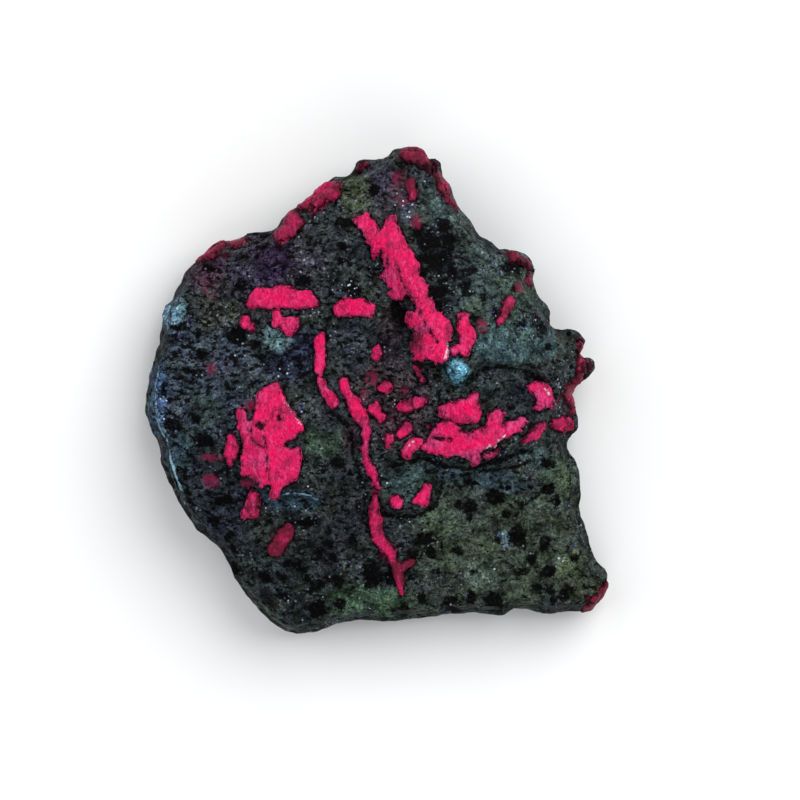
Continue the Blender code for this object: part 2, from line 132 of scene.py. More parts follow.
# Their crusts: how far they go on under the rock around them, and how thick they are at the rim
# and inside it.
HIDDEN_BORDER = 0.4 * MM
RIM_CRUST = 0.6 * MM
INNER_CRUST = 1.5 * MM

# Fineness of the skin, first as drawn and then as an even mesh. The rows of points along the rim
# lie closer together towards it: depth of the first one, and their number.
RIM_STEP = 0.5 * MM
FACE_STEP = 0.7 * MM
FACE_ROWS = (0.006 * MM, 29)
FOOT_STEP = 1.2 * MM
FOOT_ROWS = (0.048 * MM, 20)
LOOP_STEP = 0.32 * MM
VOXEL = 0.68 * MM
WELD = 0.001 * MM

OUTLINE = [
    (419, 146), (423, 149), (425, 155), (425, 161), (435, 157), (439, 158), (441, 163), (443, 177),
    (445, 180), (448, 180), (451, 184), (456, 204), (468, 217), (470, 222), (481, 236), (489, 240),
    (498, 248), (515, 249), (523, 252), (529, 257), (534, 264), (535, 270), (533, 277), (536, 291),
    (540, 297), (549, 306), (550, 312), (549, 318), (550, 324), (552, 327), (558, 329), (575, 328),
    (587, 340), (577, 355), (577, 358), (593, 357), (596, 361), (597, 366), (594, 371), (573, 390),
    (570, 391), (570, 394), (573, 398), (577, 408), (579, 428), (568, 438), (567, 442), (568, 447),
    (579, 468), (582, 493), (580, 505), (581, 514), (594, 555), (598, 562), (607, 571), (609, 579),
    (608, 587), (605, 595), (592, 609), (586, 612), (579, 613), (566, 612), (554, 615), (544, 614),
    (529, 610), (514, 609), (501, 617), (480, 613), (463, 613), (390, 622), (359, 620), (342, 623),
    (312, 633), (299, 635), (284, 632), (273, 625), (259, 612), (238, 586), (220, 548), (195, 529),
    (177, 502), (164, 475), (159, 460), (160, 452), (157, 440), (152, 434), (149, 428), (144, 409),
    (147, 381), (153, 356), (158, 342), (158, 335), (160, 330), (162, 308), (165, 304), (173, 299),
    (173, 294), (179, 283), (183, 271), (200, 255), (206, 251), (209, 246), (214, 242), (227, 239),
    (236, 240), (243, 233), (250, 231), (259, 232), (264, 230), (272, 230), (280, 224), (280, 219),
    (283, 214), (290, 208), (295, 206), (310, 196), (320, 184), (324, 181), (328, 181), (331, 177),
    (335, 175), (346, 176), (352, 171), (354, 167), (353, 163), (355, 160), (361, 157), (370, 159),
    (382, 157), (386, 155), (393, 148)
]

# Heights of the broad face above the foot: grid x, grid y, millimetres.
SPOT_HEIGHTS = {
    "summit": (410, 158, 22), "upper left rim": (320, 195, 22), "left shoulder": (215, 252, 19),
    "upper left rise": (172, 305, 18), "left brow": (158, 380, 20), "left cheek": (172, 465, 20),
    "lower left rim": (232, 560, 18), "bottom left": (300, 622, 16), "bottom": (395, 612, 17),
    "bottom right": (500, 606, 16), "corner": (596, 588, 13), "right rim": (574, 500, 16),
    "right plate": (566, 420, 20), "prow": (584, 345, 18), "right upper rim": (542, 305, 22),
    "right shoulder": (518, 258, 22), "summit right": (450, 200, 24), "crown top": (400, 222, 30),
    "crown": (425, 292, 34), "blade end": (436, 345, 36), "upper slope": (495, 300, 29),
    "upper plateau": (310, 262, 27), "left plateau": (225, 380, 26), "cluster": (270, 440, 29),
    "middle": (340, 350, 29), "shelf left": (400, 415, 29), "shelf right": (520, 395, 28),
    "ledge brow": (465, 440, 29), "ledge foot": (475, 485, 22), "low plane": (520, 545, 17),
    "low middle": (400, 560, 20), "low left": (300, 545, 24), "step": (405, 480, 26),
}

# Ledges: a sudden drop to the right of the line as it is drawn. Drop, how far it reaches, line.
LEDGES = {
    "under the blade": (6.0 * MM, 3.0 * MM, [(404, 361), (424, 366), (450, 365)]),
    "upper ledge": (3.4 * MM, 5.0 * MM, [
        (450, 385), (465, 375), (480, 364), (503, 362), (530, 368), (546, 381), (554, 392)]),
    "long ledge": (4.4 * MM, 6.0 * MM, [
        (392, 462), (424, 454), (440, 461), (472, 465), (505, 453), (530, 445), (547, 430),
        (557, 411), (571, 392), (588, 379)]),
    "short step": (2.8 * MM, 4.0 * MM, [
        (380, 508), (395, 513), (420, 509), (432, 502), (437, 481), (441, 464)]),
    "under the cluster": (2.2 * MM, 5.0 * MM, [(240, 476), (262, 486), (275, 497), (320, 497)]),
}

# Gullies: depth, half width and line.
GULLIES = {
    "summit gully": (1.8 * MM, 1.8 * MM, [(394, 150), (397, 182), (392, 215)]),
    "beside the blade": (3.2 * MM, 2.2 * MM, [(378, 262), (392, 304), (408, 335), (408, 356)]),
    "along the vein": (1.4 * MM, 1.4 * MM, [
        (322, 402), (352, 428), (355, 452), (368, 492), (364, 520)]),
    "low plane groove": (0.9 * MM, 1.6 * MM, [(548, 488), (520, 508), (508, 540)]),
    "upper streak": (0.8 * MM, 1.6 * MM, [(300, 216), (262, 288)]),
}

# Knobs and hollows: height (a hollow's is below nought), radius, place.
KNOBS = {
    "pit under the blade": (-2.5 * MM, 2.0 * MM, (434, 372)),
    "blue knob": (2.2 * MM, 2.0 * MM, (456, 371)),
    "grey knob": (1.6 * MM, 2.6 * MM, (282, 350)),
    "knob under the cluster": (1.2 * MM, 2.2 * MM, (268, 507)),
    "hollow of the nuggets": (-1.0 * MM, 3.0 * MM, (392, 420)),
}

# Ruby crystals: how proud they stand in millimetres, how clearly they glow (0 to 1), outline.
CRYSTALS = {
    "blade": (1.4, 1, [
        (355, 217), (361, 215), (368, 217), (374, 221), (376, 227), (380, 232), (383, 228), (385, 224),
        (390, 220), (396, 223), (399, 230), (402, 237), (408, 247), (413, 253), (414, 259), (420, 266),
        (418, 275), (424, 282), (428, 290), (427, 298), (433, 303), (434, 310), (443, 315), (450, 322),
        (452, 334), (445, 343), (447, 351), (447, 361), (436, 361), (425, 359), (414, 361), (413, 354),
        (416, 341), (417, 330), (409, 319), (411, 314), (416, 311), (412, 300), (406, 294), (402, 301),
        (392, 298), (391, 288), (385, 281), (380, 277), (382, 272), (387, 267), (388, 261), (385, 254),
        (382, 250), (378, 251), (377, 258), (372, 254), (369, 244), (362, 234), (356, 225)]),
    "blade companion": (1, 0.95, [
        (458, 314), (461, 312), (465, 314), (468, 318), (468, 324), (472, 327), (475, 332), (476, 337),
        (466, 357), (458, 352), (454, 356), (450, 355), (449, 349), (453, 345), (459, 343), (459, 336),
        (457, 330)]),
    "slope strip": (0.6, 0.55, [
        (503, 299), (508, 297), (513, 299), (512, 305), (506, 317), (502, 322), (497, 325), (496, 321),
        (502, 309)]),
    "blade sliver": (0.6, 0.6, [(411, 366), (415, 365), (419, 368), (425, 383), (421, 383)]),
    "long bar": (0.7, 1, [
        (246, 305), (251, 293), (255, 288), (262, 287), (270, 288), (277, 286), (287, 286), (293, 288),
        (296, 291), (310, 291), (319, 303), (319, 306), (298, 309), (276, 308), (270, 309), (262, 307),
        (248, 308)]),
    "bar foot": (0.7, 0.95, [
        (273, 309), (279, 309), (280, 316), (290, 317), (297, 316), (300, 319), (300, 325), (292, 335),
        (288, 335), (283, 332), (280, 328), (276, 328), (271, 324)]),
    "short bar": (0.7, 1, [
        (333, 305), (342, 299), (352, 298), (362, 299), (366, 302), (374, 304), (375, 309), (373, 316),
        (368, 317), (352, 316), (344, 317), (336, 316), (332, 311)]),
    "bar bead": (0.6, 0.9, [
        (241, 316), (246, 315), (253, 321), (256, 330), (252, 331), (243, 327), (240, 322)]),
    "splinter": (0.8, 1, [
        (320, 331), (324, 333), (326, 338), (325, 348), (326, 358), (324, 375), (319, 376), (315, 372),
        (314, 365), (315, 355), (314, 345), (315, 337)]),
    "splinter foot": (0.8, 1, [
        (317, 376), (323, 378), (330, 390), (335, 393), (338, 397), (339, 402), (336, 407), (332, 409),
        (323, 399), (320, 389), (317, 384)]),
    "centre bead": (0.6, 0.85, [
        (378, 344), (381, 348), (381, 354), (379, 360), (376, 362), (373, 359), (372, 348)]),
    "vein top": (0.9, 0.9, [
        (338, 380), (342, 376), (347, 377), (351, 391), (357, 395), (368, 417), (371, 432), (367, 449),
        (368, 455), (378, 476), (380, 488), (375, 489), (374, 484), (367, 472), (359, 446), (362, 442),
        (361, 427), (350, 413), (347, 401), (340, 391)]),
    "vein foot": (0.7, 0.6, [
        (372, 494), (377, 495), (380, 508), (379, 512), (383, 518), (382, 530), (384, 535), (394, 547),
        (396, 556), (400, 564), (403, 561), (414, 559), (416, 562), (402, 572), (404, 596), (399, 594),
        (388, 557), (384, 552), (379, 549), (373, 541), (367, 513), (371, 503)]),
    "cluster": (1.2, 0.95, [
        (275, 382), (280, 382), (281, 390), (291, 408), (296, 412), (298, 418), (302, 422), (304, 428),
        (302, 432), (297, 434), (295, 438), (286, 441), (284, 445), (288, 449), (299, 446), (301, 450),
        (301, 460), (298, 478), (286, 484), (277, 496), (273, 494), (270, 484), (262, 484), (249, 474),
        (245, 475), (242, 469), (241, 456), (244, 451), (236, 413), (238, 408), (242, 406), (250, 422),
        (253, 417), (256, 405), (255, 399), (257, 393), (261, 388)]),
    "cluster tooth": (0.7, 0.75, [
        (228, 434), (232, 433), (238, 445), (238, 452), (233, 464), (230, 465), (226, 462), (224, 455)]),
    "cluster root": (0.6, 0.65, [
        (251, 488), (254, 488), (259, 494), (258, 511), (260, 516), (256, 518), (251, 516), (246, 519),
        (241, 518), (241, 511), (245, 503), (246, 496)]),
    "oval": (0.3, 0.3, [
        (286, 523), (292, 524), (294, 531), (292, 537), (281, 554), (276, 556), (268, 554), (266, 549),
        (278, 529)]),
    "rim blade": (1, 0.55, [
        (310, 197), (324, 181), (328, 182), (336, 175), (341, 176), (341, 180), (338, 183), (337, 188),
        (340, 193), (336, 198), (330, 200), (325, 198), (322, 204), (310, 209), (299, 207), (297, 205)]),
    "rim blade foot": (0.9, 0.5, [
        (286, 212), (291, 211), (296, 213), (301, 218), (303, 223), (293, 236), (282, 240), (277, 240),
        (274, 236), (277, 232), (283, 228), (286, 222), (285, 217)]),
    "rim knob": (0.4, 0.2, [
        (355, 162), (358, 159), (362, 158), (366, 160), (364, 166), (360, 170), (356, 167)]),
    "rim lump": (0.7, 0.45, [
        (202, 257), (209, 246), (220, 240), (225, 240), (220, 250), (215, 252), (211, 257), (205, 258)]),
    "rim lump knob": (0.5, 0.4, [
        (237, 239), (240, 235), (248, 232), (248, 236), (244, 239), (242, 243), (240, 243)]),
    "summit lump": (1.1, 0.15, [
        (404, 148), (412, 146), (420, 147), (424, 153), (425, 160), (423, 166), (420, 166), (417, 162),
        (405, 161), (401, 156)]),
    "summit bead": (0.6, 0.3, [
        (407, 179), (412, 178), (415, 182), (416, 197), (413, 201), (409, 200), (406, 187)]),
    "summit edge": (0.5, 0.25, [(438, 160), (441, 163), (443, 179), (440, 177), (437, 163)]),
    "summit side lump": (0.9, 0.35, [
        (437, 184), (441, 180), (447, 180), (451, 184), (453, 196), (456, 202), (455, 205), (450, 204),
        (446, 201), (446, 197), (437, 189)]),
    "shoulder lump": (0.9, 0.3, [
        (509, 250), (515, 249), (529, 259), (531, 263), (526, 265), (517, 260), (511, 261), (509, 256)]),
    "shoulder edge": (0.5, 0.25, [(531, 266), (535, 267), (534, 274), (531, 275), (529, 270)]),
    "prow lump": (0.9, 0.3, [
        (571, 328), (576, 329), (587, 340), (580, 350), (578, 347), (580, 341), (577, 336), (573, 333)]),
    "fang": (0.9, 0.4, [
        (577, 361), (580, 361), (583, 365), (579, 380), (576, 384), (575, 378), (577, 370)]),
    "fang tip": (0.7, 0.3, [
        (589, 361), (593, 358), (596, 363), (596, 368), (592, 371), (588, 370), (587, 365)]),
    "prow root": (0.5, 0.3, [(564, 388), (570, 384), (576, 384), (572, 389), (567, 391)]),
    "shelf lamp": (1.3, 0.95, [
        (527, 386), (531, 382), (542, 383), (551, 387), (552, 402), (550, 407), (545, 407), (537, 410),
        (532, 408), (534, 404), (537, 402), (535, 397)]),
    "right plate": (0.6, 0.62, [
        (552, 420), (563, 417), (568, 417), (573, 426), (578, 428), (560, 432), (555, 429), (552, 425)]),
    "right strip": (0.6, 0.3, [
        (567, 400), (571, 394), (575, 402), (577, 410), (578, 428), (574, 425), (570, 406)]),
    "ledge ruby": (1.2, 1, [
        (420, 449), (433, 427), (437, 423), (447, 420), (451, 421), (459, 427), (461, 431), (464, 433),
        (481, 429), (485, 426), (487, 422), (487, 416), (490, 411), (494, 409), (499, 409), (502, 413),
        (500, 422), (501, 427), (505, 423), (521, 417), (526, 419), (526, 423), (508, 437), (503, 438),
        (482, 449), (479, 452), (481, 457), (477, 461), (472, 461), (467, 458), (455, 455), (443, 456)]),
    "ledge block": (1.1, 0.9, [
        (437, 412), (437, 407), (447, 402), (452, 402), (457, 400), (467, 399), (468, 395), (472, 392),
        (477, 392), (478, 407), (480, 411), (480, 417), (477, 423), (474, 423), (471, 421), (461, 424),
        (448, 418), (444, 419), (440, 417)]),
    "under the ledge ruby": (0.4, 0.7, [
        (482, 455), (485, 452), (496, 451), (500, 448), (498, 452), (489, 458), (484, 458)]),
    "ledge sliver": (0.6, 0.6, [
        (545, 421), (537, 425), (525, 437), (518, 442), (522, 443), (537, 436), (543, 427)]),
    "nugget 1": (0.7, 0.8, [
        (396, 407), (399, 402), (413, 397), (425, 397), (427, 400), (421, 408), (404, 412), (400, 411)]),
    "nugget 2": (0.7, 0.85, [
        (396, 433), (397, 429), (405, 421), (408, 421), (412, 424), (412, 428), (409, 432), (400, 438),
        (397, 437)]),
    "nugget fleck": (0.4, 0.5, [(424, 426), (427, 424), (430, 424), (429, 428), (426, 430)]),
    "nugget 3": (0.8, 0.95, [
        (401, 455), (400, 452), (407, 440), (412, 437), (422, 438), (422, 442), (419, 448), (409, 456)]),
    "nugget 4": (0.6, 0.85, [
        (384, 435), (388, 433), (392, 433), (393, 437), (390, 448), (387, 449), (383, 440)]),
    "nugget 5": (0.7, 0.8, [
        (367, 407), (376, 400), (379, 402), (382, 412), (386, 416), (386, 420), (382, 422), (378, 422),
        (376, 417), (368, 411)]),
    "nugget 6": (0.7, 0.8, [
        (377, 388), (380, 383), (385, 380), (390, 382), (391, 386), (390, 391), (386, 394), (378, 391)]),
    "lower bead": (0.6, 0.9, [
        (389, 498), (392, 495), (396, 494), (400, 496), (403, 504), (402, 507), (397, 508), (392, 507),
        (389, 503)]),
    "lower drop": (0.7, 0.95, [
        (412, 500), (425, 483), (428, 483), (431, 487), (429, 501), (426, 504), (412, 503)]),
    "corner lump": (0.6, 0.12, [
        (609, 585), (606, 595), (597, 604), (588, 612), (586, 607), (594, 600), (603, 589)]),
}

# Creases and holes in the crystals' tops: depth, half width and line.
CREASES = {
    "blade crease": (0.8 * MM, 0.2 * MM, [
        (396, 266), (403, 285), (412, 300), (420, 316), (430, 333), (437, 343)]),
    "cluster crease": (0.8 * MM, 0.18 * MM, [(264, 436), (267, 450), (268, 470), (271, 490)]),
    "cluster side crease": (0.6 * MM, 0.14 * MM, [(251, 422), (253, 441), (262, 446)]),
    "cluster hole": (1.3 * MM, 0.5 * MM, [(279, 416), (280, 419)]),
    "cluster small hole": (1.1 * MM, 0.7 * MM, [(259, 424), (261, 426)]),
    "ledge ruby hole": (1.5 * MM, 0.5 * MM, [(434, 437), (441, 438), (449, 439)]),
    "ledge ruby crease": (0.5 * MM, 0.12 * MM, [(459, 429), (465, 434), (471, 436)]),
    "nugget 1 gap": (0.6 * MM, 0.1 * MM, [(411, 397), (411, 411)]),
}

# Places in the crystals that a film of rock dims, or that are crushed and frosted: grid x, grid y,
# half width, half height, turn in degrees, how much it dims, and how much it frosts.
VEILS = {
    "blade's left lobe": (390, 282, 12, 18, 25, 0.1, 0.8),
    "blade's upper left": (362, 230, 9, 16, 30, 0.0, 0.4),
    "blade's foot": (418, 341, 8, 13, 0, 0.75, 0.3),
    "blade's lower lobe": (421, 330, 8, 10, 20, 0.25, 0.7),
    "blade companion": (455, 350, 9, 7, 0, 0.15, 0.6),
    "cluster's left sliver": (246, 418, 7, 20, 8, 0.1, 0.8),
    "cluster's lower left": (258, 462, 15, 16, 0, 0.1, 0.5),
    "cluster's upper left": (259, 396, 6, 10, 0, 0.1, 0.5),
    "cluster root": (250, 508, 9, 10, 0, 0.1, 0.6),
    "bar foot": (290, 322, 14, 10, 0, 0.15, 0.5),
    "long bar's top": (262, 290, 18, 5, 0, 0.1, 0.4),
    "splinter foot": (322, 388, 7, 8, 0, 0.1, 0.5),
    "vein middle": (364, 440, 6, 32, 12, 0.1, 0.4),
    "vein below": (400, 572, 14, 14, 0, 0.45, 0.2),
    "ledge ruby's left arm": (434, 438, 16, 12, 20, 0.05, 0.7),
    "ledge ruby's upper arm": (494, 416, 8, 8, 0, 0.2, 0.7),
    "ledge ruby's right arm": (515, 424, 14, 6, 25, 0.15, 0.8),
    "ledge ruby's lower edge": (470, 455, 24, 8, 5, 0.1, 0.8),
    "ledge block's top": (473, 398, 6, 8, 0, 0.2, 0.5),
    "ledge block's left": (443, 412, 8, 8, 0, 0.15, 0.5),
    "lamp's foot": (540, 400, 13, 10, 0, 0.25, 0.9),
    "nugget 1": (415, 402, 12, 8, 0, 0.15, 0.5),
    "summit ridge": (436, 170, 7, 9, 20, 0.4, 0.0),
    "nugget 3": (410, 446, 10, 9, 0, 0.1, 0.5),
}

# Painted highlights: pale streaks painted on the crystals' edges where they would catch the light.
# Half width and line.
PAINTED_RUBY_HIGHLIGHTS = {
    "blade's end": (0.32 * MM, [(451, 338), (447, 345), (444, 358)]),
    "ledge ruby's edge": (0.1 * MM, [(482, 448), (492, 443), (503, 435)]),
    "nugget 3": (0.1 * MM, [(407, 445), (413, 441)]),
    "lamp": (0.16 * MM, [(543, 388), (548, 392)]),
    "cluster's right edge": (0.05 * MM, [(283, 398), (292, 410), (301, 424)]),
}

# Black amphibole grains: grid x, grid y, half length, half breadth, and turn in degrees if any.
AMPHIBOLE = [
    (428, 243, 11, 9), (437, 262, 10, 8), (418, 232, 6, 8), (403, 318, 5, 10), (396, 312, 6, 6),
    (386, 258, 5, 8), (444, 226, 6, 6), (430, 238, 4, 4), (425, 259, 7, 5), (447, 240, 5, 5),
    (447, 255, 5, 6), (423, 273, 4, 7), (437, 267, 4, 4), (451, 274, 5, 6), (441, 282, 4, 3),
    (438, 292, 8, 6), (438, 304, 4, 5), (466, 286, 4, 4), (467, 294, 7, 4), (482, 297, 4, 4),
    (475, 317, 5, 4), (494, 314, 4, 6), (471, 270, 4, 4), (506, 268, 6, 6), (514, 266, 6, 5),
    (513, 288, 4, 4), (521, 324, 7, 4), (535, 316, 4, 4), (540, 327, 6, 7), (547, 347, 4, 4),
    (347, 190, 4, 4), (344, 223, 8, 5), (341, 246, 5, 4), (341, 261, 4, 4), (374, 191, 6, 6),
    (304, 281, 8, 6), (353, 290, 7, 5), (350, 282, 4, 4), (395, 305, 6, 5), (172, 342, 4, 4),
    (198, 334, 4, 4), (202, 355, 6, 6), (177, 327, 12, 3), (190, 371, 10, 4), (240, 286, 8, 6),
    (237, 335, 12, 9), (256, 345, 5, 5), (262, 357, 4, 4), (209, 268, 4, 5), (172, 423, 10, 7),
    (195, 417, 5, 5), (205, 440, 10, 7), (165, 390, 4, 6), (173, 483, 7, 5), (187, 500, 4, 6),
    (224, 500, 11, 5), (215, 521, 5, 6), (192, 515, 4, 5), (227, 537, 5, 5), (232, 548, 5, 4),
    (257, 540, 4, 5), (236, 568, 6, 7), (307, 521, 12, 5), (339, 462, 8, 5), (329, 543, 4, 6),
    (352, 539, 5, 6), (333, 556, 4, 6), (319, 552, 4, 4), (294, 562, 9, 4), (303, 569, 5, 4),
    (264, 576, 6, 6), (283, 577, 4, 4), (304, 579, 5, 4), (316, 586, 9, 6, 35), (326, 577, 4, 4),
    (337, 581, 5, 7), (283, 596, 7, 4), (317, 608, 9, 8), (340, 603, 6, 5), (372, 574, 9, 14),
    (314, 617, 4, 3), (424, 538, 10, 7), (412, 553, 5, 5), (431, 552, 6, 6), (456, 550, 5, 5),
    (441, 545, 3, 3), (498, 540, 4, 4), (469, 482, 6, 5), (495, 496, 9, 9), (469, 506, 7, 8),
    (459, 504, 4, 4), (469, 516, 4, 4), (507, 485, 4, 4), (506, 513, 4, 4), (519, 503, 4, 3),
    (517, 536, 8, 12, 20), (544, 543, 6, 7), (531, 559, 5, 7), (548, 571, 8, 7), (547, 463, 7, 5),
    (548, 489, 6, 6), (557, 500, 4, 5), (530, 487, 4, 4), (575, 557, 4, 5), (577, 488, 4, 4),
    (521, 570, 7, 5), (536, 586, 5, 4), (550, 588, 5, 4), (563, 594, 6, 7), (470, 598, 7, 8),
    (493, 601, 9, 11), (453, 604, 9, 8), (421, 597, 5, 6), (403, 610, 6, 8), (473, 572, 4, 4),
    (438, 571, 5, 4), (569, 589, 5, 5), (552, 600, 4, 4), (388, 577, 5, 8),
]

# Washes of colour in the zoisite, laid over one another in this order: grid x, grid y, half width,
# half height, turn in degrees, colour, how strong it is, and how thick the fine specks lie there.
WASHES = {
    "upper left": (255, 270, 75, 55, 0, "#4e4857", 0.8, 0.65),
    "left": (205, 375, 62, 75, 0, "#4b5562", 0.8, 0.7),
    "left low": (205, 495, 60, 50, 0, "#303340", 0.8, 0.7),
    "low left": (285, 590, 75, 50, 0, "#323838", 0.8, 0.55),
    "low middle": (340, 520, 70, 40, 0, "#323336", 0.7, 0.6),
    "low green": (375, 602, 48, 20, -5, "#495e4c", 0.9, 0.25),
    "low right plane": (505, 545, 92, 70, 0, "#454e42", 0.9, 0.3),
    "green band": (440, 520, 30, 18, -20, "#546351", 0.6, 0.3),
    "green below the ledge": (560, 475, 24, 20, 0, "#4d5b4a", 0.7, 0.35),
    "corner": (580, 580, 30, 30, 0, "#434939", 0.7, 0.5),
    "upper right slope": (500, 275, 58, 55, 20, "#505f5c", 0.85, 0.4),
    "summit right": (450, 200, 26, 28, 0, "#546867", 0.8, 0.3),
    "summit olive": (355, 193, 26, 20, 0, "#565a49", 0.8, 0.4),
    "summit purple": (384, 190, 15, 38, 0, "#47404e", 0.8, 0.5),
    "summit grey": (405, 205, 12, 22, 0, "#5c5f70", 0.6, 0.4),
    "dark beside the blade": (447, 262, 30, 42, 15, "#2e3234", 0.85, 0.8),
    "right slope": (512, 340, 50, 24, 10, "#4e6567", 0.85, 0.4),
    "upper ledge": (515, 353, 38, 11, 8, "#45595c", 0.8, 0.2),
    # Painted shade under the overhang of the upper ledge.
    "under the upper ledge": (500, 386, 48, 18, 0, "#343a40", 0.8, 0.6),
    "shelf": (390, 400, 45, 45, 0, "#5a4652", 0.6, 0.65),
    # Painted highlight: bluish light caught by the knob.
    "blue knob": (456, 371, 12, 14, 20, "#8ad2e6", 0.95, 0.1),
    # Painted shade in the valley beside the blade.
    "valley": (397, 315, 17, 48, -20, "#382c34", 0.85, 0.6),
    "centre": (292, 352, 36, 28, 0, "#2d3348", 0.85, 0.75),
    # Painted highlight: bluish light on the grey knob.
    "grey knob": (279, 337, 16, 13, 0, "#6f8a98", 0.9, 0.35),
    "middle": (345, 345, 28, 32, 0, "#3f4148", 0.7, 0.6),
    # Painted highlight: bluish light on the left brow.
    "left brow": (172, 312, 15, 18, 0, "#80a8b8", 0.9, 0.2),
    "left olive": (215, 313, 26, 18, 0, "#4d4d42", 0.8, 0.6),
    "left edge": (158, 395, 11, 42, 0, "#547098", 0.75, 0.5),
    "left cheek": (175, 450, 16, 30, 10, "#46606c", 0.6, 0.6),
    "left purple": (200, 268, 24, 18, -30, "#502e44", 0.8, 0.6),
    "violet": (272, 260, 22, 30, 0, "#3e2c4c", 0.8, 0.7),
    "green left of the cluster": (208, 408, 18, 15, 0, "#4a5a51", 0.7, 0.4),
    "grey violet": (215, 365, 24, 12, 0, "#504c5a", 0.5, 0.6),
    "green right of the cluster": (322, 443, 19, 17, 0, "#4d6152", 0.85, 0.4),
    "purple near the vein": (352, 437, 9, 18, 0, "#482c44", 0.6, 0.5),
    "blue under the cluster": (290, 499, 34, 12, -5, "#344a5a", 0.8, 0.5),
    "under the long ledge": (480, 478, 58, 12, -10, "#4a5c62", 0.8, 0.5),
    "ledge end": (535, 455, 26, 13, -25, "#56696c", 0.7, 0.3),
    "step": (405, 485, 26, 22, 0, "#465a58", 0.7, 0.4),
    "pale patch": (480, 572, 20, 14, 0, "#5d6e62", 0.6, 0.3),
    "pale right": (565, 562, 16, 12, 0, "#5e6b57", 0.6, 0.25),
    "light blue patch": (504, 537, 6, 9, 0, "#6c8797", 0.7, 0.3),
    "violet low": (250, 605, 30, 16, 30, "#2c2832", 0.6, 0.4),
}

# Colours that lie in clouds over the sides and the underside.
SIDE_WASHES = ("#4a5c50", "#46525e", "#3c3446", "#55604f")

# Where a film or a dust of ruby shows in the rock, partly real and partly a painted pink glow, as
# if the crystals' light spilled onto the rock: grid x, grid y, half width, half height, turn in
# degrees, strength.
RUBY_DUST_AND_GLOW = {
    "over the cluster": (250, 405, 7, 9, 30, 0.55),
    "under the cluster": (248, 483, 9, 6, -20, 0.6),
    "cluster wisp": (212, 457, 13, 5, 0, 0.6),
    "cluster bud": (211, 480, 10, 8, 0, 0.65),
    "left dot": (212, 369, 5, 7, 0, 0.75),
    "left rim": (150, 378, 3, 8, 0, 0.5),
    "left shoulder": (210, 288, 10, 14, 20, 0.25),
    "oval": (280, 540, 11, 20, -32, 0.5),
    "blade foot": (415, 345, 7, 12, 10, 0.4),
    "summit beads": (401, 188, 16, 22, 0, 0.3),
    "summit veil": (416, 223, 7, 8, 0, 0.6),
    "vein link": (375, 492, 5, 7, 0, 0.5),
    "between the nuggets": (404, 391, 5, 6, 0, 0.45),
    "nugget dust": (398, 420, 22, 20, 0, 0.22),
    "ledge dust": (478, 440, 45, 20, 15, 0.2),
    "right edge": (556, 402, 4, 14, -35, 0.45),
    "right dust": (568, 412, 12, 16, 0, 0.25),
    "vein dust": (388, 552, 14, 10, 40, 0.3),
    "companion dust": (481, 326, 6, 9, 0, 0.6),
    "shoulder dot": (519, 287, 6, 7, 0, 0.5),
    "left of nugget 5": (364, 394, 6, 7, 0, 0.5),
    "nugget 7": (372, 377, 8, 10, 0, 0.6),
    "summit fleck": (396, 177, 7, 8, 0, 0.5),
    "summit drop": (402, 202, 6, 8, 0, 0.5),
    "slope dust": (505, 312, 8, 14, -25, 0.3),
    "middle": (342, 540, 8, 8, 0, 0.15),
    "vein end": (410, 606, 4, 8, 0, 0.25),
    "rim lump dust": (225, 255, 16, 8, 30, 0.25),
}

# Where painted highlights of cleavage faces lie in numbers, with the same columns.
PAINTED_SPARKLES = {
    "over the short bar": (345, 290, 18, 9, 0, 0.9),
    "under the short bar": (352, 320, 14, 5, 0, 0.7),
    "above the cluster": (282, 373, 14, 7, 0, 1.0),
    "left of the splinter": (262, 360, 8, 6, 0, 0.8),
    "under the long bar": (312, 313, 10, 6, 0, 0.9),
    "left brow": (168, 313, 12, 12, 0, 0.8),
    "left edge": (162, 405, 10, 14, 0, 0.8),
    "right of the cluster": (300, 405, 9, 16, -20, 0.8),
    "under the cluster": (272, 506, 12, 9, 0, 0.8),
    "blade's right": (448, 312, 8, 8, 0, 1.0),
    "blade's foot": (452, 352, 7, 10, 0, 1.0),
    "vein": (385, 478, 8, 14, -20, 0.8),
    "low plane": (505, 530, 9, 12, 0, 0.8),
    "low right": (560, 562, 12, 9, 0, 0.6),
    "pale patch": (488, 574, 14, 10, 0, 0.6),
    "summit": (405, 205, 12, 20, 0, 0.6),
    "under the ledge ruby": (513, 447, 17, 5, 25, 1.0),
    "right of the lamp": (556, 408, 5, 12, 0, 0.6),
    "above nugget 3": (392, 400, 8, 10, 0, 0.6),
}

# Painted highlights: pale blue lines painted along edges of the rock where bluish light catches
# them. Half width and line.
PAINTED_EDGE_LIGHTS = {
    "left rim": (0.17 * MM, [
        (159, 353), (156, 380), (155, 405), (159, 425), (167, 440), (170, 459), (177, 477),
        (183, 497), (185, 505)]),
    "under the cluster": (0.03 * MM, [(271, 496), (279, 495), (290, 492), (303, 493), (318, 498)]),
}

# Cracks in the rock, and painted shadows: the lines under and below the ledges and under the
# short step are dark lines painted where their shade falls. Half width and line.
CRACKS_AND_LEDGE_SHADOWS = {
    "under the upper ledge": (0.27 * MM, [
        (452, 389), (468, 378), (484, 368), (503, 366), (530, 373), (548, 386)]),
    "under the long ledge": (0.36 * MM, [
        (392, 465), (424, 457), (440, 464), (472, 468), (505, 457), (530, 449)]),
    "below the long ledge": (0.18 * MM, [(462, 474), (484, 470), (512, 467), (530, 460)]),
    "low plane": (0.17 * MM, [(545, 488), (530, 500), (514, 516)]),
    "left of the vein": (0.18 * MM, [(330, 410), (350, 430), (353, 455), (366, 492), (362, 520)]),
    "under the short step": (0.32 * MM, [(380, 511), (396, 517), (421, 513), (436, 503), (441, 482)]),
}


# ---- Places and outlines -----------------------------------------------------------------------

def metres(grid_points):
    """Places on the drawing grid, in metres about the stone's middle with y up."""
    drawn = np.asarray(grid_points, dtype=float)
    return (drawn - GRID_MIDDLE) * (SQUARE, -SQUARE)


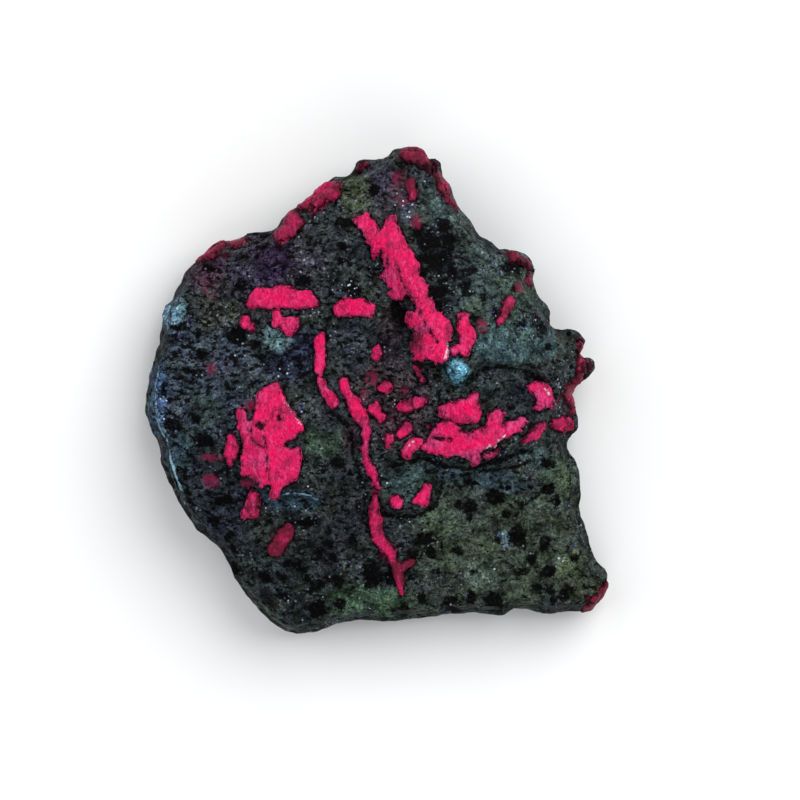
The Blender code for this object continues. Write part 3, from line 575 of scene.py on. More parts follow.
def rounded_loop(loop, step, passes=2):
    """Points every step along a closed loop, its corners worn round."""
    places = []
    for start, end in zip(loop, np.roll(loop, -1, axis=0)):
        count = max(1, round(np.linalg.norm(end - start) / step))
        places.append(start + (end - start) * np.arange(count)[:, None] / count)
    places = np.vstack(places)
    for _ in range(passes):
        places = (np.roll(places, 1, axis=0) + 2 * places + np.roll(places, -1, axis=0)) / 4
    return places


def along_path(points, path):
    """Each point's distance to a path, its side of it (1 is right) and how far along it is, 0 to 1."""
    steps = np.linalg.norm(np.diff(path, axis=0), axis=1)
    starts = np.concatenate(([0.0], np.cumsum(steps)))
    nearest = np.full(len(points), np.inf)
    side = np.ones(len(points))
    share = np.zeros(len(points))
    for start, end, step, before in zip(path[:-1], path[1:], steps, starts):
        run = end - start
        offset = points - start
        t = np.clip(offset @ run / step**2, 0.0, 1.0)
        away = np.linalg.norm(offset - t[:, None] * run, axis=1)
        closer = away < nearest
        nearest[closer] = away[closer]
        cross = run[1] * offset[:, 0] - run[0] * offset[:, 1]
        side[closer] = np.where(cross[closer] > 0, 1.0, -1.0)
        share[closer] = ((before + t * step) / starts[-1])[closer]
    return nearest, side, share


def along_paths(points, paths):
    """Each point's distance from the side of the nearest path. The row of a path ends in its half
    width and its line."""
    sides = [along_path(points[:, :2], metres(line))[0] - half for *_, half, line in paths.values()]
    return np.minimum.reduce(sides)


def inside(points, loop):
    """True for the points inside a closed loop."""
    odd = np.zeros(len(points), dtype=bool)
    x, y = points[:, 0], points[:, 1]
    for (ax, ay), (bx, by) in zip(loop, np.roll(loop, -1, axis=0)):
        if ay != by:
            crosses = (ay > y) != (by > y)
            odd ^= crosses & (x < (bx - ax) * (y - ay) / (by - ay) + ax)
    return odd


def tree_of(places):
    """A search tree of places in space."""
    tree = KDTree(len(places))
    for number, place in enumerate(places):
        tree.insert(place, number)
    tree.balance()
    return tree


def depth_in(points, loop):
    """How deep each point lies inside a finely stepped loop; below nought outside it."""
    tree = tree_of([(x, y, 0.0) for x, y in loop.tolist()])
    nearest = np.array([tree.find((x, y, 0.0))[1] for x, y in points.tolist()])
    away = np.full(len(points), np.inf)
    for first, second in ((nearest - 1, nearest), (nearest, (nearest + 1) % len(loop))):
        start, run = loop[first], loop[second] - loop[first]
        offset = points - start
        t = np.clip((offset * run).sum(axis=1) / (run**2).sum(axis=1), 0.0, 1.0)
        away = np.minimum(away, np.linalg.norm(offset - t[:, None] * run, axis=1))
    away[away < WELD] = 0.0
    return np.where(inside(points, loop), away, -away)


def in_box(points, floor=0.0):
    """The points, kept in the part's box and above a floor."""
    return np.clip(points, (CAD_LOW.x, CAD_LOW.y, floor), tuple(CAD_HIGH))


def ease(value, low, high):
    """0 below low, 1 above high and a smooth rise between them."""
    t = np.clip((value - low) / (high - low), 0.0, 1.0)
    return t * t * (3 - 2 * t)


def bell(away, half_width):
    """1 in the middle, and a smooth fall to 0 on both sides."""
    return np.exp(-((away / half_width) ** 2))


# ---- Noise -------------------------------------------------------------------------------------

def swell(points, length, seed):
    """Smooth plan noise from -1 to 1 with swells of about this length."""
    return np.array([noise.noise(Vector((x, y, seed))) for x, y in (points / length).tolist()])


def grain(places, length, seed, octaves=2):
    """Noise in space from about -1 to 1, with lumps of about this length and finer ones in them."""
    shifted = places / length + (seed, 0.0, 0.0)
    return np.array([noise.fractal(Vector(p), 1.0, 2.0, octaves) for p in shifted.tolist()])


def fissures(places, size, seed):
    """1 in the fissures between blocks of about this size, and 0 on the blocks."""
    shifted = places / size + (0.0, seed, 0.0)
    bent = shifted + 0.25 * strays(grain, shifted, 0.7, (1.0, 2.0, 3.0))
    nearest = np.array([noise.voronoi(Vector(p))[0][:2] for p in bent.tolist()])
    return 1 - ease(nearest[:, 1] - nearest[:, 0], 0.0, 0.3)


def strays(pattern, points, length, seeds, *detail):
    """How a noise shifts each point, with a seed for each direction."""
    return np.column_stack([pattern(points, length, seed, *detail) for seed in seeds])


def layered(pattern, points, layers):
    """Layers of a noise on one another: height, length and seed of each."""
    return sum(height * pattern(points, length, seed) for height, length, seed in layers)


def wandering(points, middle, swing, length, seed):
    """A value that wanders about its middle over the stone."""
    return middle + swing * swell(points, length, seed)


# ---- The broad face ----------------------------------------------------------------------------

def through_spots(points):
    """A smooth surface through the spot heights, by multiquadrics."""
    spots = np.array(list(SPOT_HEIGHTS.values()), dtype=float)
    places = metres(spots[:, :2])
    softness = 7 * MM

    def basis(a, b):
        return np.sqrt(((a[:, None] - b[None]) ** 2).sum(axis=2) + softness**2)

    weights = np.linalg.solve(basis(places, places), spots[:, 2] * MM)
    return basis(points, places) @ weights


def ledge_relief(points):
    """Half the drop above each ledge and half below it, fading away from it and at its ends."""
    relief = np.zeros(len(points))
    lip, fading_end = 0.5 * MM, 0.12
    for drop, reach, line in LEDGES.values():
        away, side, share = along_path(points, metres(line))
        ends = np.clip(np.minimum(share, 1 - share) / fading_end, 0.0, 1.0)
        relief -= 0.5 * drop * side * np.tanh(away / lip) * np.exp(-away / reach) * ends
    return relief


def gully_relief(points):
    return -sum(depth * bell(along_path(points, metres(line))[0], half_width)
                for depth, half_width, line in GULLIES.values())


def knob_relief(points):
    return sum(height * bell(np.linalg.norm(points - metres(place), axis=1), radius)
               for height, radius, place in KNOBS.values())


def broad_face(points):
    """Height of the broken face, before it rounds off to the rim."""
    relief = ledge_relief(points) + gully_relief(points) + knob_relief(points)
    return through_spots(points) + layered(swell, points, SWELLS) + relief


def rounding(depth, run, fullness):
    """The rise from 0 at the rim to 1 at the end of the run; at fullness 2 it is a quarter circle."""
    return (1 - (1 - np.clip(depth / run, 0.0, 1.0)) ** 2) ** (1 / fullness)


def rim_height(points):
    return wandering(points, *RIM_SHARE) * through_spots(points)


def face_height(points, depth):
    """Height of the stone's upper side, rim to rim."""
    rise = rounding(depth, wandering(points, *SHOULDER), wandering(points, *SHOULDER_FULLNESS))
    rim = rim_height(points)
    return rim + rise * (broad_face(points) - rim)


def foot_height(points, depth):
    """Height of the stone's underside: rounded in from the rim, then the flat foot at nought."""
    rise = rounding(depth, wandering(points, *BELLY), wandering(points, *BELLY_FULLNESS))
    return rim_height(points) * (1 - rise)


# ---- Meshes ------------------------------------------------------------------------------------

def mesh_of(name, points, faces):
    mesh = bpy.data.meshes.new(name)
    mesh.from_pydata(points.tolist(), [], faces)
    return mesh


def placed(name, data):
    """A new object in the scene."""
    made = bpy.data.objects.new(name, data)
    bpy.context.scene.collection.objects.link(made)
    return made


def mesh_arrays(mesh):
    """A mesh's points and its triangles, as arrays."""
    shape = bmesh.new()
    shape.from_mesh(mesh)
    bmesh.ops.triangulate(shape, faces=shape.faces[:])
    points = np.array([corner.co for corner in shape.verts])
    triangles = np.array([[corner.index for corner in face.verts] for face in shape.faces])
    shape.free()
    return points, triangles


def even_mesh(points, triangles):
    """The same body in faces of one size, which takes roughness well on steep places too."""
    drawn = mesh_of("drawn skin", points, triangles.tolist())
    body = placed("drawn skin", drawn)
    remesh = body.modifiers.new("even", "REMESH")
    remesh.mode = "VOXEL"
    remesh.voxel_size = VOXEL
    shaped = body.evaluated_get(bpy.context.evaluated_depsgraph_get())
    even = bpy.data.meshes.new_from_object(shaped)
    made = mesh_arrays(even)
    bpy.data.objects.remove(body)
    bpy.data.meshes.remove(drawn)
    bpy.data.meshes.remove(even)
    return made


def refined(points, triangles, wanted):
    """The mesh with each wanted triangle cut in four."""
    mesh = mesh_of("refined", points, triangles.tolist())
    shape = bmesh.new()
    shape.from_mesh(mesh)
    shape.faces.ensure_lookup_table()
    faces = [shape.faces[number] for number in np.flatnonzero(wanted)]
    edges = list(dict.fromkeys(edge for face in faces for edge in face.edges))
    bmesh.ops.subdivide_edges(shape, edges=edges, cuts=1)
    shape.to_mesh(mesh)
    shape.free()
    made = mesh_arrays(mesh)
    bpy.data.meshes.remove(mesh)
    return made


def summed(owners, vectors, count):
    """The sum of each owner's vectors."""
    return np.column_stack([np.bincount(owners, column, count) for column in vectors.T])


def point_normals(points, triangles):
    a, b, c = (points[triangles[:, i]] for i in range(3))
    cross = np.cross(b - a, c - a)
    total = sum(summed(triangles[:, i], cross, len(points)) for i in range(3))
    return total / np.maximum(np.linalg.norm(total, axis=1), 1e-12)[:, None]


# ---- The skin ----------------------------------------------------------------------------------

def rim_loop():
    """The stone's outline at the rim, with the small nicks of broken rock."""
    loop = rounded_loop(metres(OUTLINE), RIM_STEP)
    nicked = loop + NICK * strays(swell, loop, NICK_LENGTH, (4.4, 7.9))
    return np.clip(nicked, (CAD_LOW.x, CAD_LOW.y), (CAD_HIGH.x, CAD_HIGH.y))


def ring(loop, depth, step):
    """Points spaced along a closed loop and set back inside it by a depth."""
    ends = np.roll(loop, -1, axis=0)
    lengths = np.linalg.norm(ends - loop, axis=1)
    starts = np.concatenate(([0.0], np.cumsum(lengths)))
    marks = np.arange(0.0, starts[-1], step)
    number = np.searchsorted(starts, marks, side="right") - 1
    run = (ends - loop)[number] / lengths[number][:, None]
    places = loop[number] + run * (marks - starts[number])[:, None]
    return places + np.column_stack((run[:, 1], -run[:, 0])) * depth


def rings(loop, depths, step):
    """Rows of points at several depths inside a loop, less those that have come nearer to another
    stretch of it."""
    rows, least_share = [], 0.93
    for number, depth in enumerate(depths):
        places = ring(np.roll(loop, number, axis=0), depth, step)
        rows.append(places[depth_in(places, loop) > least_share * depth])
    return np.vstack(rows)


def lattice(low, high, step):
    """A triangular lattice of points over a rectangle."""
    row_share = 0.866
    places = [
        (x + (step / 2 if row % 2 else 0.0), y)
        for row, y in enumerate(np.arange(low[1], high[1], step * row_share))
        for x in np.arange(low[0], high[0], step)
    ]
    return np.array(places)


def sheet(points, rim, height):
    """Triangles between the points inside the rim, whose loop comes first, raised to a height."""
    edges = [(i, (i + 1) % len(rim)) for i in range(len(rim))]
    places, _, triangles, *_ = delaunay_2d_cdt([Vector(p) for p in points], edges, [], 0, WELD / 10)
    if len(places) != len(points):
        raise RuntimeError("two points of the skin fell together")
    triangles = np.array(triangles)
    triangles = triangles[inside(points[triangles].mean(axis=1), rim)]
    depth = depth_in(points, rim)
    return np.column_stack((points, height(points, depth))), triangles


def drawn_skin(rim):
    """The stone's skin as drawn: the broad face and the underside, which share the rim."""
    low, high = rim.min(axis=0), rim.max(axis=0)
    sides = []
    for step, (first, rows), height in (
            (FACE_STEP, FACE_ROWS, face_height), (FOOT_STEP, FOOT_ROWS, foot_height)):
        depths = [first * k * k for k in range(1, rows + 1)]
        inner = lattice(low, high, step)
        inner = inner[depth_in(inner, rim) > depths[-1] + step / 2]
        sides.append(sheet(np.vstack((rim, rings(rim, depths, step), inner)), rim, height))
    (face, face_triangles), (foot, foot_triangles) = sides
    count = len(rim)
    numbers = np.concatenate((np.arange(count), np.arange(len(foot) - count) + len(face)))
    points = np.vstack((face, foot[count:]))
    return points, np.vstack((face_triangles, numbers[foot_triangles][:, ::-1]))


def from_rim_line(points, depth):
    """Each point's distance from the line in which the broad face turns into the underside."""
    return np.hypot(np.maximum(depth, 0.0), points[:, 2] - rim_height(points[:, :2]))


def facet_seeds():
    """Places at random in a box around the stone, about one to each block of a facet's size."""
    half_width, half_length, height = np.array((0.5, 0.6, 0.4)) * (CAD_HIGH.x - CAD_LOW.x)
    low, high = (-half_width, -half_length, 0.0), (half_width, half_length, height)
    count = int(np.prod(np.subtract(high, low)) / FACET**3)
    return np.random.default_rng(7).uniform(low, high, (count, 3))


def chipped(points, normals, rim):
    """Breaks the sides and the belly along facets. What sticks out past a facet's plane is gone. The
    broad face, the rim and the foot are spared."""
    depth = depth_in(points[:, :2], rim)
    steep = 1 - ease(normals[:, 2], 0.6, 0.85)
    near_rim = 1 - ease(depth, 5 * MM, 8 * MM)
    above_foot = ease(points[:, 2], 0.2 * MM, 1.5 * MM)
    share = np.where(normals[:, 2] < 0, above_foot, steep * near_rim)
    share = share * ease(from_rim_line(points, depth), 0.0, 2.5 * MM)
    here = np.flatnonzero(share > 0.01)
    places, facing = points[here], normals[here]

    # Each facet's plane goes through the middle of the places nearest to its seed.
    seeds = facet_seeds()
    tree = tree_of(seeds)
    close = [[(number, away) for _, number, away in tree.find_n(p, FACETS_NEAR)]
             for p in places.tolist()]
    owner = np.array([pairs[0][0] for pairs in close])
    total = np.maximum(np.bincount(owner, minlength=len(seeds)), 1)
    middles = summed(owner, places, len(seeds)) / total[:, None]
    facings = summed(owner, facing, len(seeds))
    facings /= np.maximum(np.linalg.norm(facings, axis=1), 1e-9)[:, None]

    cut = np.zeros(len(here))
    for rank in range(FACETS_NEAR):
        number, away = np.array([pairs[rank] for pairs in close]).T
        number = number.astype(int)
        off = ((places - middles[number]) * facings[number]).sum(axis=1) + BITE
        reach = 1 - ease(away, 0.75 * FACET, 1.3 * FACET)
        cut = np.maximum(cut, np.clip(off, 0.0, MOST_BITE) * reach * (total[number] > 1))
    moved = points.copy()
    moved[here] -= facing * (cut * share[here])[:, None]
    return moved


def weathered(points, triangles, depth, crystal):
    """Roughens the whole skin with lumps, pits and fissures, less near the foot. Nothing goes below
    nought or out of the part's box."""
    normals = point_normals(points, triangles)
    bare = 1 - ease(crystal, -0.2 * MM, 0.4 * MM)
    inward = ease(from_rim_line(points, depth), 0.0, 2 * MM)
    rough = layered(grain, points, LUMPS) - layered(fissures, points, FISSURES) * inward * bare
    near_foot = 1 - ease(points[:, 2], 0.05 * MM, 1.2 * MM)
    points = in_box(points + normals * (rough * (1 - 0.6 * near_foot))[:, None])
    return points, point_normals(points, triangles)


def past_the_rim(loop, rim):
    """A crystal's loop with the points near the rim pushed out past it, so that it wraps the edge."""
    farthest = 2.2 * MM
    outward = loop - loop.mean(axis=0)
    outward /= np.linalg.norm(outward, axis=1)[:, None]
    push = farthest * (1 - ease(depth_in(loop, rim), 0.3 * MM, 1.2 * MM))
    return loop + outward * push[:, None]


def crystal_depth(points, loops):
    """How deep each point lies in the crystal whose loop it is deepest in, and that one's number.
    Outside the crystals depth goes on below nought for a little way."""
    depth = np.full(len(points), -OUTSIDE)
    number = np.zeros(len(points), dtype=int)
    for i, loop in enumerate(loops):
        low, high = loop.min(axis=0) - OUTSIDE, loop.max(axis=0) + OUTSIDE
        here = np.flatnonzero(((points > low) & (points < high)).all(axis=1))
        if len(here):
            found = depth_in(points[here], loop)
            better = found > depth[here]
            depth[here[better]] = found[better]
            number[here[better]] = i
    return depth, number


def crystals_at(points, loops):
    """How deep each point lies in a crystal, and in which. None reaches far down the sides."""
    ragged = RAGGED * strays(grain, points, RAGGED_LENGTH, (31.0, 37.0), 3)
    depth, number = crystal_depth(points[:, :2] + ragged, loops)
    down = broad_face(points[:, :2]) - points[:, 2]
    reach = SIDE_REACH * (1 + 0.5 * grain(points, 5 * MM, 43.0))
    return np.maximum(np.minimum(depth + SPREAD, 0.6 * (reach - down)), -OUTSIDE), number


Skin = namedtuple("Skin", "points normals triangles depth crystal number")


@cache
def skin():
    """The stone's skin without its crystals: points, normals, triangles, depth inside the rim, and
    how deep each point lies in a crystal, and in which."""
    rim = rim_loop()
    loops = [past_the_rim(rounded_loop(metres(drawn), LOOP_STEP), rim)
             for _, _, drawn in CRYSTALS.values()]
    points, triangles = even_mesh(*drawn_skin(rim))
    normals = point_normals(points, triangles)
    points = chipped(points, normals, rim)

    # The crystals and the thin lines need a finer mesh than the bare rock.
    lined = (along_paths(points, {**PAINTED_EDGE_LIGHTS, **CRACKS_AND_LEDGE_SHADOWS}) < 0.4 * MM) & (normals[:, 2] > 0.2)
    fine = (crystals_at(points, loops)[0] > -0.5 * MM) | lined
    points, triangles = refined(points, triangles, fine[triangles].any(axis=1))

    depth = depth_in(points[:, :2], rim)
    crystal, number = crystals_at(points, loops)
    points, normals = weathered(points, triangles, depth, crystal)
    return Skin(points, normals, triangles, depth, crystal, number)


# ---- Rock and crystals -------------------------------------------------------------------------

def rock_points(stone):
    """The skin with a socket sunk under each crystal and a fine crevice around it."""
    socket = SOCKET * ease(stone.crystal, 0.05 * MM, 0.5 * MM)
    crevice = CREVICE * bell(stone.crystal, CREVICE_WIDTH)
    sunk = stone.points - stone.normals * (socket + crevice)[:, None]
    sunk[:, 2] = np.maximum(sunk[:, 2], 0.0)
    return sunk


def crystal_points(stone, proud_share, wall):
    """The skin raised over the crystals, with stepped tops, steep walls and a foot in the rock."""
    points, crystal = stone.points, stone.crystal
    proud = np.array([row[0] for row in CRYSTALS.values()])[stone.number] * MM * proud_share
    steps = np.round(TERRACE_STEPS * grain(points, TERRACE_LENGTH, 41.0)) / TERRACE_STEPS
    lumps = TOP_LUMP * grain(points, TOP_LUMP_LENGTH, 57.0, 3)
    creases = np.maximum.reduce([
        depth * bell(along_path(points[:, :2], metres(line))[0], half_width)
        for depth, half_width, line in CREASES.values()])
    top = ease(crystal, 0.0, 0.5 * MM) * np.minimum(1.0, proud / MM)
    lift = proud * rounding(crystal, wall, 2.0) + (TERRACE * steps + lumps) * top - creases * top
    lift = np.where(crystal > 0, lift, 1.6 * crystal)
    move = stone.normals * lift[:, None]

    # What stands out to the side would widen the stone, so it does so less, least of all at the rim.
    level = 1 - 0.9 * ease(stone.normals[:, 2], 0.2, 0.6)
    outward = level * (0.3 + 0.7 * ease(stone.depth, 0.0, 1.5 * MM))
    move[:, :2] *= np.where(lift > 0, outward, 1.0)[:, None]
    return in_box(points + move)


def crust_points(stone):
    """The underside of the crystals, in the rock."""
    thick = RIM_CRUST + (INNER_CRUST - RIM_CRUST) * ease(stone.depth, 0.0, 3 * MM)
    return in_box(stone.points - thick[:, None] * stone.normals, 0.05 * MM)


def border_of(triangles):
    """The edges that only one triangle has, in that triangle's direction."""
    edges = np.vstack((triangles[:, [0, 1]], triangles[:, [1, 2]], triangles[:, [2, 0]]))
    known = set(map(tuple, edges.tolist()))
    return [(a, b) for a, b in known if (b, a) not in known]


def without_pinches(triangles):
    """The triangles less those that meet others at a point only."""
    while True:
        starts = np.array([a for a, _ in border_of(triangles)])
        numbers, counts = np.unique(starts, return_counts=True)
        pinched = numbers[counts > 1]
        if not len(pinched):
            return triangles
        triangles = triangles[~np.isin(triangles, pinched).any(axis=1)]


def closed_crust(outer, inner, triangles):
    """A closed body between two copies of the same triangles. Returns points, triangles and the
    number of each point in the copies."""
    used = np.unique(triangles)
    renumber = np.zeros(len(outer), dtype=int)
    renumber[used] = np.arange(len(used))
    top = renumber[triangles]
    under = top[:, ::-1] + len(used)
    walls = []
    for a, b in border_of(top):
        walls += [(b, a, a + len(used)), (b, a + len(used), b + len(used))]
    points = np.vstack((outer[used], inner[used]))
    return points, np.vstack((top, under, walls)), np.concatenate((used, used))


def mesh_piece(name, points, triangles, material, attributes):
    """A piece of the stone, with its minerals' places kept as values on its points."""
    mesh = mesh_of(name, points, triangles.tolist())
    mesh.validate()
    mesh.shade_smooth()
    mesh.materials.append(material)
    for label, values in attributes.items():
        kind, field = ("FLOAT_COLOR", "color") if values.ndim == 2 else ("FLOAT", "value")
        layer = mesh.attributes.new(label, kind, "POINT")
        layer.data.foreach_set(field, values.astype(np.float32).ravel())
    return placed(name, mesh)


# ---- Where the minerals lie --------------------------------------------------------------------

def linear(colour):
    """A sRGB hex colour as linear red, green and blue."""
    parts = [int(colour[i:i + 2], 16) / 255 for i in (1, 3, 5)]
    return tuple(c / 12.92 if c <= 0.04045 else ((c + 0.055) / 1.055) ** 2.4 for c in parts)


def ellipse_reach(points, x, y, half_width, half_height, turn=0):
    """Each point's distance from an ellipse's middle, 1 on its edge. The turn is anticlockwise."""
    offset = points[:, :2] - metres((x, y))
    angle = np.radians(turn)
    along = offset @ (np.cos(angle), np.sin(angle))
    across = offset @ (-np.sin(angle), np.cos(angle))
    return np.hypot(along / (half_width * SQUARE), across / (half_height * SQUARE))


def wash_values(points, steep, finish):
    """The zoisite's colour and how thick the fine specks lie: the washes on the broad face, and
    clouds of a few colours on the steep sides and the underside."""
    colour = np.tile(tuple(finish.base), (len(points), 1))
    sides = colour.copy()
    specks = np.full(len(points), finish.specks)
    wander = layered(swell, points[:, :2], ((0.3, 5 * MM, 14.0), (0.2, 2 * MM, 19.0)))
    for *ellipse, shade, strength, thick in WASHES.values():
        cover = strength * (1 - ease(ellipse_reach(points, *ellipse) + wander, 0.55, 1.25))
        colour += cover[:, None] * (finish.oiled * np.array(linear(shade)) - colour)
        specks += cover * (thick - specks)
    for seed, shade in enumerate(SIDE_WASHES):
        cover = 0.8 * ease(grain(points, 13 * MM, 5.0 * seed), 0.05, 0.4)
        sides += cover[:, None] * (finish.oiled * np.array(linear(shade)) - sides)
    colour += steep[:, None] * (sides - colour)
    specks += steep * (finish.specks - specks)
    return np.column_stack((colour, np.ones(len(points)))), specks


def grain_values(points, steep):
    """How deep each point lies in a black amphibole grain, in millimetres; below nought outside."""
    places = points[:, :2] + 0.55 * MM * strays(grain, points, 2.2 * MM, (81.0, 87.0))
    deep = [(1 - ellipse_reach(places, *ellipse)) * min(ellipse[2:4]) for ellipse in AMPHIBOLE]
    inner = np.maximum(np.maximum.reduce(deep) * SQUARE / MM, -1.0)
    hidden = 2.4 * grain(points, 4.2 * MM, 71.0) - 0.9
    return inner + (np.maximum(hidden, -1.0) - inner) * steep


def line_values(points, steep, lines):
    """Distance in millimetres from the side of the nearest of these thin lines."""
    places = points[:, :2] + 0.25 * MM * strays(grain, points, 2.6 * MM, (91.0, 97.0))
    return np.minimum(along_paths(places, lines) / MM, 2.0) + 2 * steep


def veil_values(points):
    """How much each point is dimmed and how much it is frosted."""
    dimmed, frosted = np.zeros(len(points)), np.zeros(len(points))
    for *ellipse, dims, frosts in VEILS.values():
        cover = 1 - ease(ellipse_reach(points, *ellipse), 0.4, 1.2)
        dimmed = np.maximum(dimmed, dims * cover)
        frosted = np.maximum(frosted, frosts * cover)
    return dimmed, frosted


def patch_values(points, steep, patches):
    """How far each point of the broad face lies in any of these patches, 0 to 1."""
    most = np.zeros(len(points))
    wander = 0.25 * swell(points[:, :2], 1.6 * MM, 27.0)
    for *ellipse, strength in patches.values():
        cover = 1 - ease(ellipse_reach(points, *ellipse) + wander, 0.5, 1.3)
        most = np.maximum(most, strength * cover)
    return most * (1 - steep)


# ---- Materials ---------------------------------------------------------------------------------

FACTOR, FIRST, SECOND, MIXED = 0, 6, 7, 2  # a colour Mix node's sockets


def feed(node, feeds):
    """Feeds a node's inputs, by name or number, from other nodes' outputs or with values."""
    for socket, source in feeds.items():
        if isinstance(source, NodeSocket):
            node.id_data.links.new(source, node.inputs[socket])
        else:
            node.inputs[socket].default_value = source


def add(tree, kind, feeds=(), output=0, **settings):
    """Adds a node with its settings and what feeds its inputs, by name or number or in order.
    Returns one of its outputs."""
    made = tree.nodes.new("ShaderNode" + kind)
    for name, value in settings.items():
        setattr(made, name, value)
    feed(made, feeds if isinstance(feeds, dict) else dict(enumerate(feeds)))
    return made.outputs[output]


def per_mm(size):
    """The scale that gives a pattern features of a size in millimetres."""
    return 1.0 / (size * MM)


def new_material(name):
    """A new material, its nodes and its shader."""
    material = bpy.data.materials.new(name)
    material.use_nodes = True
    return material, material.node_tree, material.node_tree.nodes["Principled BSDF"]


def sugary_zoisite(tree, known, chance):
    """Each grain is lighter or darker than the next, in lighter and darker clouds, and patches lean
    to green or to blue."""
    rock = add(tree, "Attribute", output="Color", attribute_name="wash")
    for pattern, *limits in (
            (known["cloud"], 0.35, 0.65, 0.25, 2.35), (known["blotch"], 0.33, 0.67, 0.4, 1.7),
            (known["sugar"], 0.34, 0.66, 0.2, 2.1), (chance, 0.0, 1.0, 0.5, 1.6)):
        shade = add(tree, "MapRange", (pattern, *limits))
        rock = add(tree, "VectorMath", {0: rock, "Scale": shade}, operation="SCALE")
    lean = add(tree, "MapRange", (known["hue"], 0.38, 0.62))
    green, blue = (0.99, 1.07, 0.91, 1.0), (0.93, 0.98, 1.12, 1.0)
    tint = add(tree, "Mix", {FACTOR: lean, FIRST: green, SECOND: blue}, MIXED, data_type="RGBA")
    return add(tree, "VectorMath", (rock, tint), operation="MULTIPLY")


def amphibole_cover(tree, known, wander):
    """Fine specks, drawn out along the rock's grain, and larger grains with ragged edges and a few
    zoisite specks in them."""
    limit = add(tree, "MapRange", (known["specks"], 0.0, 1.0, 0.66, 0.45))
    over = add(tree, "Math", (known["fine"], limit), operation="SUBTRACT")
    speck = add(tree, "MapRange", (over, 0.0, 0.03, 0.0, 0.95))
    reach = add(tree, "Math", (known["amphibole"], wander), operation="ADD")
    solid = add(tree, "MapRange", (known["sugar"], 0.56, 0.66, 1.0, 0.6))
    patch = add(tree, "MapRange", (reach, -0.2, 0.05, 0.0, solid))
    return add(tree, "Math", (speck, patch), operation="MAXIMUM")


def painted_glints(tree, finish, place, known):
    """Painted highlights: cleavage faces that catch the light, painted into the colour in drifts, some
    of them blue: where they are, and in what colour. They are under 0.2 mm across, and are drawn
    coarser so that they show."""
    faces = add(tree, "TexVoronoi", {"Vector": place, "Scale": per_mm(0.85)}).node.outputs
    turned = add(tree, "SeparateColor", (faces["Color"],)).node.outputs
    bright = turned[1]
    for name, share in (("drift", 1.2), ("painted_sparkle", 0.75)):
        bright = add(tree, "Math", (known[name], share, bright), operation="MULTIPLY_ADD")
    cover = add(tree, "MapRange", (bright, 1.5, 1.85))
    for pattern, *limits in ((faces["Distance"], 0.34, 0.16), (known["sugar"], 0.44, 0.52)):
        part = add(tree, "MapRange", (pattern, *limits))
        cover = add(tree, "Math", (cover, part), operation="MULTIPLY")
    bluish = add(tree, "MapRange", (turned[2], 0.65, 0.8))
    white, blue = (*finish.glint, 1.0), (*finish.blue_glint, 1.0)
    light = add(tree, "Mix", {FACTOR: bluish, FIRST: white, SECOND: blue}, MIXED, data_type="RGBA")
    return cover, light


